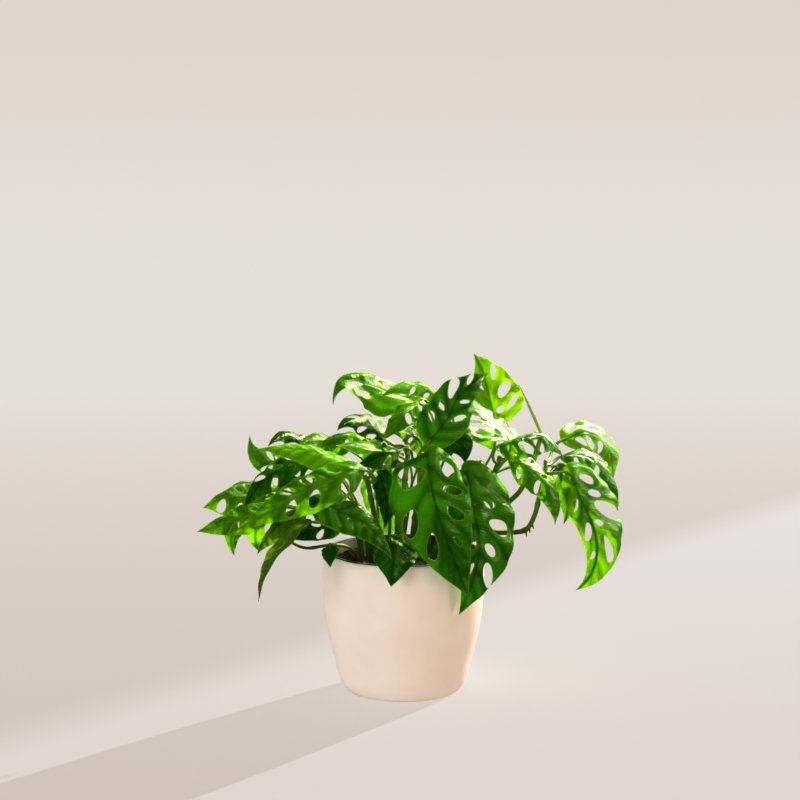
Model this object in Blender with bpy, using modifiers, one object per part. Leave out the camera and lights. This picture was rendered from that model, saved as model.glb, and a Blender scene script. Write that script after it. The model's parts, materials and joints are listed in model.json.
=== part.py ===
"""A potted monstera adansonii: outer pot, nursery pot, soil, vine stems and leaves.

Sizes and places below are in millimetres and are brought to metres where the meshes are made.
+Z is up, the origin is the centre of the pot's foot, and the front of the plant faces -Y.
Each leaf is one piece: a thin arched blade with its oval holes, and the stalk that carries it.
"""
import math
import random
from typing import NamedTuple

import bmesh
import bpy
import numpy as np
from mathutils import Vector
from mathutils.bvhtree import BVHTree
from mathutils.geometry import delaunay_2d_cdt

MM = 0.001
UP = Vector((0.0, 0.0, 1.0))
PART_NAME = "potted_monstera_adansonii"

# Outer pot
POT_HEIGHT = 132.0
POT_WALL = 4.0
POT_FLOOR = 6.0
POT_SIDES = 36
POT_OUTSIDE = ((50.0, 0.0), (56.0, 5.0), (60.0, 13.0), (65.7, 36.0), (71.3, 59.0), (74.3, 82.0),
               (75.5, 108.0), (74.5, POT_HEIGHT - 2.0))

# Nursery pot, which stands on the outer pot's floor
SEAT_GAP = 0.3
CUP_WALL = 1.2
CUP_TOP_RADIUS = 68.6
CUP_FOOT_RADIUS = 50.0
CUP_RIM_WIDTH = 1.5
CUP_RIM_DEPTH = 5.0
CUP_TOP = 132.4
CUP_FOOT = POT_FLOOR + SEAT_GAP
CUP_SIDES = 28
DRAIN_RADIUS = 4.0
DRAIN_RING = 30.0
DRAIN_COUNT = 6

# Soil
SOIL_TOP = 123.0
SOIL_SIDES = 24
SOIL_RINGS = 3
SOIL_BUMP = 0.9
SOIL_CROWN = 1.4
ROOTED = 11.0
HOLE_GAP = 0.35
STEM_FOOT = 127.0

# Leaves and stalks
BLADE_THICKNESS = 0.7
BASE_ROUNDNESS = 0.58
TIP_TAPER = 1.2
RIPPLE = 0.07
RIPPLES = 2.5
STALK_RADIUS = 1.2
STALK_FOOT_SWELL = 1.45
STALK_POINTS = 5
STALK_INTO_BLADE = 6.0
CLEARANCE = 0.7
SPOT_SPACING = 6.6
SPOT_RINGS = 6
SEATS_TRIED = 14
BOWS = (4.0, 8.0, 13.0, 19.0, 26.0)
BOW_WAYS = 8
TRACE_STEP = 2.0
SEAT_TRACE = 3
OWN_TRACE = 7
STEM_WEIGHT = 50

VINE_SIDES = 8
VINE_STEP = 17.0
VINE_TAPER = 0.12
STALK_SEAT_GAP = 0.5


class Vine(NamedTuple):
    """A stem: its name, its radius, and the points that it runs through from its foot."""

    name: str
    radius: float
    points: tuple


class Hole(NamedTuple):
    """An oval hole in a blade.

    along and across are shares of the blade's length and half width, across being positive on
    the left half. length and width are its axes. turn is the angle from the midrib to its length.
    """

    along: float
    across: float
    length: float
    width: float
    turn: float


class Leaf(NamedTuple):
    """A blade's midrib from base to tip, the way its upper side faces, and its half widths."""

    name: str
    midrib: tuple
    faces: tuple
    left: float
    right: float
    cup: float
    curl: float
    carrier: str
    holes: tuple = None
    colour: str = "green"


VINES = (
    Vine("vine_centre", 3.0, ((8, -14, 127), (9, -17, 148), (13, -28, 182), (17, -43, 214),
                              (17, -47, 230))),
    Vine("vine_left", 2.8, ((-20, -18, 127), (-22, -23, 148), (-27, -36, 176), (-31, -50, 200),
                            (-33, -58, 211))),
    Vine("vine_back", 2.8, ((-4, 22, 127), (-3, 26, 148), (0, 36, 178), (4, 46, 208),
                            (4, 49, 220))),
    Vine("vine_right", 2.4, ((38, -14, 127), (43, -20, 140), (56, -32, 153), (72, -40, 157),
                             (93, -46, 158), (111, -48, 161), (119, -46, 173), (124, -42, 192),
                             (129, -36, 210), (130, -32, 221))),
    Vine("vine_right_tall", 2.6, ((28, 2, 127), (38, -6, 148), (58, -18, 174), (78, -26, 200),
                                  (88, -29, 224))),
    Vine("vine_right_low", 2.5, ((26, -30, 127), (36, -33, 148), (54, -35, 164),
                                 (72, -36, 172), (90, -37, 181), (105, -37, 193),
                                 (115, -36, 212), (121, -30, 228), (125, -25, 240))),
    Vine("vine_left_runner", 1.6, ((-40, -34, 127), (-43, -42, 136), (-50, -58, 147),
                                   (-66, -68, 151), (-87, -66, 148), (-100, -62, 152),
                                   (-108, -56, 160))),
)

FRONT_CENTRE_HOLES = (
    Hole(0.17, 0.46, 27, 15, 78), Hole(0.43, 0.66, 27, 14, 24), Hole(0.61, 0.46, 28, 10, 18),
    Hole(0.15, -0.60, 15, 9, 45), Hole(0.29, -0.56, 20, 7.5, 62), Hole(0.44, -0.50, 19, 9, 38),
    Hole(0.62, -0.40, 11, 5, 20),
)
FRONT_RIGHT_HOLES = (
    Hole(0.25, -0.42, 12, 7, 50), Hole(0.41, -0.55, 22, 11, 50), Hole(0.53, -0.30, 14, 7, 45),
    Hole(0.69, -0.52, 24, 9, 18), Hole(0.50, 0.30, 10, 5, 40), Hole(0.68, 0.36, 17, 4, 12),
)
TOP_CENTRE_HOLES = (
    Hole(0.64, -0.52, 20, 9, 30), Hole(0.81, -0.45, 12, 5, 25), Hole(0.28, -0.50, 14, 6, 50),
    Hole(0.45, -0.42, 12, 5, 45), Hole(0.38, 0.45, 13, 5, 50), Hole(0.58, 0.45, 11, 4.5, 40),
)
TOP_BRIGHT_HOLES = (
    Hole(0.70, 0.50, 14, 5, 18), Hole(0.45, 0.50, 19, 9, 40), Hole(0.27, 0.66, 17, 5, 45),
    Hole(0.20, 0.26, 9, 6, 60), Hole(0.55, -0.50, 12, 4, 30),
)
FAR_RIGHT_FRONT_HOLES = (
    Hole(0.13, -0.50, 13, 7, 60), Hole(0.24, -0.46, 14, 7, 50), Hole(0.39, -0.62, 29, 13, 42),
    Hole(0.44, -0.20, 9, 4.5, 45), Hole(0.63, -0.48, 22, 7, 15), Hole(0.48, 0.42, 20, 6, 15),
    Hole(0.67, 0.34, 9, 3.5, 10), Hole(0.26, 0.50, 13, 6, 50),
)
FAR_LEFT_TIP_HOLES = (
    Hole(0.70, -0.42, 14, 9, 50), Hole(0.46, -0.55, 15, 8, 60), Hole(0.24, -0.50, 14, 6, 60),
    Hole(0.40, 0.50, 8, 4, 50),
)
CURLED_HOLES = (
    Hole(0.64, -0.14, 20, 6, 6), Hole(0.56, -0.52, 20, 6, 12), Hole(0.30, 0.50, 10, 7, 55),
    Hole(0.14, 0.45, 9, 6, 60), Hole(0.46, 0.26, 7, 5, 45),
)
NO_HOLES = ()

LEAVES = (
    Leaf("leaf_front_centre", ((20, -70, 237), (25, -88, 208), (36, -92, 169), (59, -80, 106)),
         ((-0.1, -1.0, 0.2),), 43, 31, -6, -24, "vine_centre", FRONT_CENTRE_HOLES),
    Leaf("leaf_front_right", ((52, -56, 217), (63, -72, 183), (68, -76, 145), (50, -66, 86)),
         ((0.15, -1.0, 0.2),), 23, 39, -6, -20, "soil", FRONT_RIGHT_HOLES),
    Leaf("leaf_top_centre", ((21, -60, 241), (39, -52, 263), (52, -40, 284), (78, -25, 302)),
         ((-0.35, -1.0, 0.25),), 20, 29, -4, -24, "vine_centre", TOP_CENTRE_HOLES),
    Leaf("leaf_far_right_front", ((145, -46, 214), (160, -58, 191), (174, -62, 158),
                                  (173, -58, 128), (157, -50, 105)),
         ((0.1, -1.0, 0.25),), 15, 33, -8, -24, "vine_right", FAR_RIGHT_FRONT_HOLES),
    Leaf("leaf_left_long", ((-34, -82, 222), (-67, -94, 214), (-102, -92, 197),
                            (-150, -78, 166)),
         ((-0.2, -0.75, 0.65),), 25, 22, -6, -30, "vine_left"),
    Leaf("leaf_front_left_dark", ((-85, -88, 194), (-56, -102, 189), (-31, -106, 176),
                                  (-10, -100, 145)),
         ((0.1, -0.8, 0.6),), 18, 17, -8, -20, "soil", NO_HOLES, "dark"),
    Leaf("leaf_top_bright", ((86, 12, 247), (81, 22, 270), (75, 34, 294), (66, 40, 311)),
         ((0.25, -1.0, 0.1),), 31, 18, 6, 10, "soil", TOP_BRIGHT_HOLES, "lime"),
    Leaf("leaf_glossy_white", ((97, -32, 241), (86, -16, 252), (74, 2, 264), (62, 18, 273)),
         ((0.45, -0.45, 0.77),), 26, 34, -8, -20, "vine_right_tall"),
    Leaf("leaf_right_mid", ((87, -54, 240), (106, -66, 249), (128, -68, 249), (144, -60, 229)),
         ((0.1, -0.45, 0.9),), 23, 25, -15, -30, "vine_right_tall", None, "dark"),
    Leaf("leaf_far_right_top", ((146, 0, 235), (169, 4, 242), (188, 6, 231), (195, 4, 199)),
         ((0.25, -0.5, 0.85),), 20, 25, -8, -20, "vine_right", None, "lime"),
    Leaf("leaf_far_right_arch", ((144, -24, 224), (165, -34, 227), (186, -38, 211),
                                 (198, -30, 179)),
         ((0.25, -0.6, 0.8),), 14, 16, -12, -30, "vine_right"),
    Leaf("leaf_right_folded", ((95, -44, 226), (116, -56, 217), (133, -62, 198),
                               (137, -60, 167)),
         ((0.1, -0.8, 0.6),), 17, 17, -22, -30, "vine_right_tall"),
    Leaf("leaf_right_inner", ((141, -5, 212), (147, -12, 196), (152, -16, 178),
                              (148, -14, 159)),
         ((0.0, -1.0, 0.3),), 12, 12, -10, -20, "vine_right"),
    Leaf("leaf_top_left_curl", ((12, 30, 268), (-18, 25, 278), (-42, 18, 288),
                                 (-59, 10, 286), (-64, 4, 268)),
         ((0.0, -0.6, 0.8), (0.0, -0.6, 0.8), (-0.3, -0.6, 0.6), (-0.85, -0.45, 0.2)),
         16, 28, -4, -12, "soil", CURLED_HOLES),
    Leaf("leaf_top_fingers", ((34, 0, 274), (14, -4, 287), (-4, -10, 286), (-20, -16, 278)),
         ((0.0, -0.6, 0.8),), 13, 11, -15, -30, "soil", None, "lime"),
    Leaf("leaf_upper_left_fold", ((19, -18, 276), (4, -34, 269), (-7, -44, 258),
                                  (-18, -48, 243)),
         ((-0.4, -0.8, 0.4),), 15, 15, -8, -24, "soil"),
    Leaf("leaf_left_arch", ((-28, -5, 236), (-47, -18, 244), (-65, -24, 241), (-79, -28, 231)),
         ((-0.1, -0.4, 0.9),), 17, 17, -16, -34, "soil"),
    Leaf("leaf_left_glossy", ((-5, -20, 225), (-28, -30, 232), (-47, -32, 236),
                              (-62, -30, 236)),
         ((0.2, -0.4, 0.9),), 16, 17, -5, -15, "soil", NO_HOLES),
    Leaf("leaf_new_small", ((-19, -48, 236), (-27, -52, 241), (-35, -55, 242)),
         ((0.0, -0.6, 0.8),), 5, 5, 10, 20, "vine_left", NO_HOLES, "lime"),
    Leaf("leaf_centre_left", ((5, -62, 238), (-12, -72, 237), (-27, -74, 231), (-42, -70, 225)),
         ((-0.2, -0.7, 0.7),), 17, 17, -14, -20, "vine_centre"),
    Leaf("leaf_left_yellow", ((-46, -55, 223), (-77, -60, 234), (-106, -56, 238),
                              (-133, -48, 235)),
         ((0.0, -0.5, 0.87),), 16, 16, -12, -30, "vine_left", NO_HOLES, "lime"),
    Leaf("leaf_left_hook", ((-92, -15, 214), (-116, -18, 217), (-134, -20, 224),
                            (-140, -21, 243)),
         ((0.0, -0.7, 0.7), (0.0, -0.7, 0.7), (0.35, -0.8, 0.3), (0.5, -0.8, 0.1)),
         14, 14, -4, -10, "soil"),
    Leaf("leaf_left_sweep", ((-83, -32, 223), (-112, -42, 215), (-134, -44, 198),
                             (-146, -38, 175)),
         ((-0.35, -0.7, 0.6),), 18, 17, -10, -24, "soil", None, "dark"),
    Leaf("leaf_far_left_tip", ((-125, -22, 190), (-147, -26, 190), (-168, -26, 185),
                               (-184, -22, 176)),
         ((-0.3, -0.7, 0.6),), 12, 29, -6, -18, "soil", FAR_LEFT_TIP_HOLES),
    Leaf("leaf_far_left_point", ((-118, -56, 180), (-142, -62, 176), (-163, -60, 169),
                                 (-187, -52, 160)),
         ((-0.3, -0.75, 0.6),), 16, 16, -8, -20, "soil"),
    Leaf("leaf_far_left_down", ((-135, 0, 176), (-150, -2, 165), (-159, -2, 149),
                                (-157, 0, 126)),
         ((-0.2, -1.0, 0.2),), 13, 13, -10, -20, "soil"),
    Leaf("leaf_far_left_pale", ((-115, 25, 184), (-136, 26, 189), (-153, 24, 189),
                                (-166, 20, 177)),
         ((-0.1, -0.5, 0.85),), 13, 13, -14, -24, "soil", None, "lime"),
    Leaf("leaf_left_backlit", ((-111, 10, 172), (-126, 8, 161), (-137, 6, 148),
                               (-134, 4, 129)),
         ((-0.2, -1.0, 0.3),), 17, 16, -6, -12, "soil", None, "lime"),
    Leaf("leaf_low_left_pale", ((-86, -60, 182), (-106, -70, 176), (-121, -70, 161),
                                (-131, -64, 142)),
         ((-0.5, -0.7, 0.5),), 15, 15, -22, -20, "soil", NO_HOLES),
    Leaf("leaf_low_left_thin", ((-82, -76, 174), (-101, -82, 156), (-120, -80, 134),
                                (-130, -72, 100)),
         ((-0.85, -0.1, 0.45),), 13, 13, 32, 10, "soil", NO_HOLES, "dark"),
    Leaf("leaf_low_left_flat", ((-53, -36, 170), (-71, -40, 163), (-89, -42, 157),
                                (-106, -40, 150)),
         ((-0.1, -0.7, 0.7),), 14, 13, -10, -20, "soil", None, "dark"),
    Leaf("leaf_centre_left_tip", ((-23, -60, 217), (-17, -70, 202), (-14, -74, 186),
                                  (-18, -72, 166)),
         ((-0.3, -1.0, 0.1),), 12, 11, -8, -20, "soil", NO_HOLES, "dark"),
    Leaf("leaf_rim_small", ((-65, -74, 153), (-66, -82, 145), (-65, -84, 134)),
         ((-0.2, -1.0, 0.3),), 9, 8, -14, -20, "vine_left_runner", NO_HOLES, "dark"),
    Leaf("leaf_rim_blunt", ((-11, -72, 158), (-9, -84, 146), (-11, -88, 117)),
         ((0.0, -1.0, 0.2),), 20, 24, -20, -14, "soil", NO_HOLES, "dark"),
    Leaf("leaf_centre_dark", ((31, -25, 239), (44, -34, 241), (54, -38, 236), (56, -36, 220)),
         ((0.0, -1.0, 0.3),), 21, 15, -6, -16, "soil", NO_HOLES, "dark"),
    Leaf("leaf_right_small", ((77, -38, 213), (69, -43, 218), (57, -45, 211)),
         ((0.0, -0.8, 0.6),), 9, 9, -12, -20, "vine_right_tall", NO_HOLES, "dark"),
    Leaf("leaf_olive_mid", ((14, -20, 240), (2, -28, 249), (-8, -34, 252), (-18, -36, 247)),
         ((-0.1, -0.7, 0.7),), 12, 12, -10, -20, "soil", None, "dark"),
    Leaf("leaf_left_back_a", ((-80, 40, 214), (-102, 44, 228), (-115, 42, 233),
                              (-127, 34, 223)),
         ((-0.1, -0.6, 0.8),), 13, 13, -12, -20, "soil", None, "dark"),
    Leaf("leaf_left_back_b", ((-50, 25, 222), (-73, 22, 232), (-87, 18, 233), (-98, 12, 226)),
         ((-0.1, -0.6, 0.8),), 14, 13, -12, -20, "soil"),
    Leaf("leaf_back_round", ((-17, 45, 228), (-36, 48, 243), (-50, 46, 246), (-62, 38, 238)),
         ((-0.1, -0.6, 0.8),), 20, 15, -12, -24, "vine_back", None, "dark"),
    Leaf("leaf_back_left", ((-30, 62, 225), (-50, 86, 228), (-68, 106, 214), (-78, 118, 184)),
         ((-0.3, 0.6, 0.7),), 25, 24, -8, -24, "vine_back"),
    Leaf("leaf_back_centre", ((14, 68, 235), (18, 94, 238), (20, 116, 222), (24, 128, 186)),
         ((0.0, 0.7, 0.7),), 29, 28, -8, -24, "vine_back"),
    Leaf("leaf_back_right", ((58, 50, 230), (82, 70, 232), (104, 88, 216), (118, 98, 184)),
         ((0.4, 0.6, 0.7),), 27, 26, -8, -24, "soil"),
    Leaf("leaf_back_far_right", ((100, 30, 205), (126, 42, 204), (146, 50, 188),
                                 (156, 54, 158)),
         ((0.6, 0.4, 0.7),), 22, 22, -10, -24, "soil"),
    Leaf("leaf_back_far_left", ((-80, 58, 190), (-105, 74, 186), (-122, 84, 168),
                                (-130, 88, 138)),
         ((-0.5, 0.5, 0.6),), 22, 22, -10, -24, "soil"),
    Leaf("leaf_back_low", ((-10, 84, 190), (-16, 108, 180), (-18, 119, 152), (-12, 120, 112)),
         ((0.0, 1.0, 0.2),), 25, 25, -8, -22, "soil"),
    Leaf("leaf_back_low_right", ((50, 74, 185), (64, 96, 176), (72, 106, 152),
                                 (70, 106, 116)),
         ((0.4, 1.0, 0.2),), 24, 24, -8, -22, "soil", None, "dark"),
)

COLOURS = {
    "green": (0.045, 0.205, 0.012), "dark": (0.016, 0.095, 0.008), "lime": (0.20, 0.50, 0.015),
    "stem": (0.10, 0.24, 0.03), "clay": (0.80, 0.66, 0.54), "soil": (0.045, 0.025, 0.015),
    "black": (0.012, 0.012, 0.012),
}


class Path:
    """A smooth curve through a few points, read by the share of its length."""

    def __init__(self, points, start=None):
        """Keep the points, with the direction at the start if one is given."""
        self.points = [Vector(p) for p in points]
        chords = [(b - a).length for a, b in zip(self.points, self.points[1:])]
        self.stops = [sum(chords[:i]) for i in range(len(self.points))]
        self.length = self.stops[-1]
        self.slopes = self._slopes(start)

    def _slopes(self, start):
        """Direction of the curve at each point, from its two neighbours."""
        p, t = self.points, self.stops
        slopes = [(p[i + 1] - p[i - 1]) / (t[i + 1] - t[i - 1]) for i in range(1, len(p) - 1)]
        first = (p[1] - p[0]) / t[1]
        last = (p[-1] - p[-2]) / (t[-1] - t[-2])
        near = slopes[0] if slopes else first
        far = slopes[-1] if slopes else last
        return [start if start else 2 * first - near] + slopes + [2 * last - far]

    def point(self, share):
        """The point at a share of the length."""
        t = min(max(share, 0.0), 1.0) * self.length
        i = 0
        while i < len(self.stops) - 2 and t > self.stops[i + 1]:
            i += 1
        span = self.stops[i + 1] - self.stops[i]
        x = (t - self.stops[i]) / span
        a, b = self.points[i], self.points[i + 1]
        da, db = self.slopes[i] * span, self.slopes[i + 1] * span
        return (a * (2 * x ** 3 - 3 * x ** 2 + 1) + da * (x ** 3 - 2 * x ** 2 + x)
                + b * (3 * x ** 2 - 2 * x ** 3) + db * (x ** 3 - x ** 2))

    def direction(self, share, step=0.01):
        """The unit direction at a share of the length."""
        low = max(share - step, 0.0)
        high = min(share + step, 1.0)
        return (self.point(high) - self.point(low)).normalized()

    def samples(self, spacing):
        """Points along the curve, about spacing apart."""
        count = max(2, round(self.length / spacing))
        return [self.point(i / count) for i in range(count + 1)]


def arrival(leaf):
    """The way a stalk runs into its blade: along an upright one, out and over a hanging one."""
    chord = (Vector(leaf.midrib[1]) - Vector(leaf.midrib[0])).normalized()
    if chord.z > 0.2:
        return chord
    return Vector((chord.x, chord.y, 0.0)).normalized().lerp(Vector((0, 0, 1)), 0.2).normalized()


def spread(share):
    """Half width of a blade at a share of its length, as a share of its greatest half width."""
    widest = BASE_ROUNDNESS / (BASE_ROUNDNESS + TIP_TAPER)
    peak = widest ** BASE_ROUNDNESS * (1 - widest) ** TIP_TAPER
    share = min(max(share, 0.0), 1.0)
    return share ** BASE_ROUNDNESS * (1 - share) ** TIP_TAPER / peak


def inside(point, polygon):
    """Whether a flat point lies inside a polygon."""
    x, y = point
    odd = False
    for (x1, y1), (x2, y2) in zip(polygon, polygon[1:] + polygon[:1]):
        if (y1 > y) != (y2 > y) and x < (x2 - x1) * (y - y1) / (y2 - y1) + x1:
            odd = not odd
    return odd


def rooted(point):
    """The foot of a stem, straight down in the soil under a point above it."""
    return Vector((point[0], point[1], SOIL_TOP - ROOTED))


def vine_rings(vine, path):
    """The places and radii of a stem's rings, a little slimmer towards its end."""
    count = max(5, round(path.length / VINE_STEP))
    shares = [i / count for i in range(count + 1)]
    return [path.point(s) for s in shares], [vine.radius * (1 - VINE_TAPER * s) for s in shares]


class Blade:
    """A leaf's blade: flat outline and holes, and the arched surface that they lie on."""

    MARGIN_STEPS = 9
    HOLE_POINTS = 6
    RIB_STEPS = 6
    SMALL_BLADE = 62.0
    SMALL_MARGIN_STEPS = 8
    SMALL_HOLE = 13.0
    SMALL_HOLE_POINTS = 5
    SMALL_RIB_STEPS = 5

    def __init__(self, leaf, shift=Vector()):
        """Lay the blade on its midrib, moved by shift."""
        self.leaf = leaf
        points = [Vector(p) + shift for p in leaf.midrib]
        self.arrive = arrival(leaf)
        self.rib = Path(points, self.arrive)
        self.width = max(leaf.left, leaf.right)
        small = self.rib.length < self.SMALL_BLADE
        self.margin_steps = self.SMALL_MARGIN_STEPS if small else self.MARGIN_STEPS
        self.rib_steps = self.SMALL_RIB_STEPS if small else self.RIB_STEPS
        rng = random.Random(leaf.name)
        self.phase = rng.uniform(0, math.tau)
        self.ripple = RIPPLE * self.width
        self.holes = self._vein_holes(rng) if leaf.holes is None else leaf.holes

    def _vein_holes(self, rng):
        """Holes between the side veins, one row on each half."""
        holes = []
        for side, half in ((1, self.leaf.left), (-1, self.leaf.right)):
            count = 2 if half < 18 else 3
            pitch = 0.56 / count
            for i in range(count):
                along = 0.20 + pitch * i + rng.uniform(-0.02, 0.02)
                turn = 64 - 38 * along
                across = half * spread(along)
                length = min(0.62 * across / math.sin(math.radians(turn)), 28)
                width = rng.uniform(0.46, 0.62) * pitch * self.rib.length
                width = min(width, 0.5 * length)
                holes.append(Hole(along, side * rng.uniform(0.46, 0.54), length, width, turn))
        return tuple(holes)

    def margin(self, share, side):
        """Flat place of the margin at a share of the length, on side 1 or -1."""
        half = self.leaf.left if side > 0 else self.leaf.right
        return share * self.rib.length, side * half * spread(share)

    def outline(self):
        """The flat outline, up the left margin to the tip and back down the right one."""
        steps = [0.5 - 0.5 * math.cos(math.pi * i / self.margin_steps)
                 for i in range(self.margin_steps + 1)]
        left = [self.margin(s, 1) for s in steps]
        right = [self.margin(s, -1) for s in reversed(steps[1:-1])]
        return left + right

    def ring(self, hole, grow=1.0):
        """The flat outline of one hole, grown by a factor."""
        half = self.leaf.left if hole.across > 0 else self.leaf.right
        x0 = hole.along * self.rib.length
        y0 = hole.across * half * spread(hole.along)
        turn = math.radians(hole.turn) * (1 if hole.across > 0 else -1)
        ring = []
        count = self.HOLE_POINTS if hole.length > self.SMALL_HOLE else self.SMALL_HOLE_POINTS
        for i in range(count):
            a = math.tau * i / count
            u = grow * hole.length / 2 * math.cos(a)
            v = grow * hole.width / 2 * math.sin(a)
            ring.append((x0 + u * math.cos(turn) - v * math.sin(turn),
                         y0 + u * math.sin(turn) + v * math.cos(turn)))
        return ring

    def place(self, along, across):
        """The point in space of a flat point of the blade."""
        share = along / self.rib.length
        forward = self.rib.direction(share)
        faces = self.leaf.faces
        stage = min(max(share, 0.0), 1.0) * (len(faces) - 1)
        first = min(int(stage), len(faces) - 2) if len(faces) > 1 else 0
        hint = Vector(faces[first]).lerp(Vector(faces[min(first + 1, len(faces) - 1)]),
                                         stage - first)
        up = (hint - forward * hint.dot(forward)).normalized()
        side = forward.cross(up)
        reach = abs(across)
        cup = math.radians(self.leaf.cup)
        bend = math.radians(self.leaf.curl) / self.width
        out = (math.sin(cup + bend * reach) - math.sin(cup)) / bend
        rise = (math.cos(cup) - math.cos(cup + bend * reach)) / bend
        hand = 1 if across >= 0 else -1
        wave = math.sin(math.tau * RIPPLES * share + self.phase + hand)
        rise += self.ripple * wave * (reach / self.width) ** 2
        return self.rib.point(share) + side * (out * hand) + up * rise

    def surface(self):
        """The blade's middle surface: points in space, and triangles with the holes left out."""
        outline = self.outline()
        rings = [self.ring(hole) for hole in self.holes]
        guard = [self.ring(hole, 1.3) for hole in self.holes]
        flat = list(outline)
        edges = [(i, (i + 1) % len(outline)) for i in range(len(outline))]
        for ring in rings:
            start = len(flat)
            flat += ring
            edges += [(start + i, start + (i + 1) % len(ring)) for i in range(len(ring))]
        rib = [(self.rib.length * i / self.rib_steps, 0.0) for i in range(1, self.rib_steps)]
        flat += rib
        for i in range(1, self.rib_steps - 1):
            share = (i + 0.5) / self.rib_steps
            for side in (1, -1):
                along, across = self.margin(share, side)
                spot = (along, across * 0.5)
                if not any(inside(spot, ring) for ring in guard):
                    flat.append(spot)
        found = delaunay_2d_cdt([Vector(p) for p in flat], edges, [], 1, 1e-5)
        points = [tuple(v) for v in found[0]]
        triangles = []
        for face in found[2]:
            centre = [sum(points[i][k] for i in face) / len(face) for k in (0, 1)]
            if inside(centre, outline) and not any(inside(centre, ring) for ring in rings):
                triangles.append(tuple(face))
        return [self.place(*p) for p in points], triangles


def box(points, margin):
    """The lowest and highest corners of some points, moved out by a margin."""
    low = [min(p[k] for p in points) - margin for k in range(3)]
    high = [max(p[k] for p in points) + margin for k in range(3)]
    return low, high


def nearest(trace, other):
    """The least distance between the points of two traces."""
    gaps = trace[:, None, :] - other[None, :, :]
    return float(np.sqrt((gaps ** 2).sum(axis=2).min()))


class Stalk:
    """A leaf's stalk, from its seat on the soil or a vine to a little way up the midrib."""

    def __init__(self, blade, seat, bend=Vector()):
        """Run from seat, a point with a direction, into the blade, bowed sideways by bend."""
        foot, rise = seat
        base = blade.rib.point(0.0)
        into = blade.rib.point(STALK_INTO_BLADE / blade.rib.length)
        reach = (base - foot).length
        first = foot + rise * (0.42 * reach) + bend
        second = base - blade.arrive * (0.30 * reach) + bend * 0.5
        self.points = []
        for i in range(STALK_POINTS + 1):
            x = i / STALK_POINTS
            self.points.append(foot * (1 - x) ** 3 + first * (3 * x * (1 - x) ** 2)
                               + second * (3 * x * x * (1 - x)) + base * x ** 3)
        self.points.append(into)
        self.trace = np.array(Path(self.points).samples(TRACE_STEP))

    def radii(self):
        """Radius at each point, a little stouter at the foot."""
        last = len(self.points) - 1
        grades = [min(1.0, max(0.0, 2 * (i - 1) / last)) for i in range(last + 1)]
        return [STALK_RADIUS * (STALK_FOOT_SWELL * (1 - g) + g) for g in grades]


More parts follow.
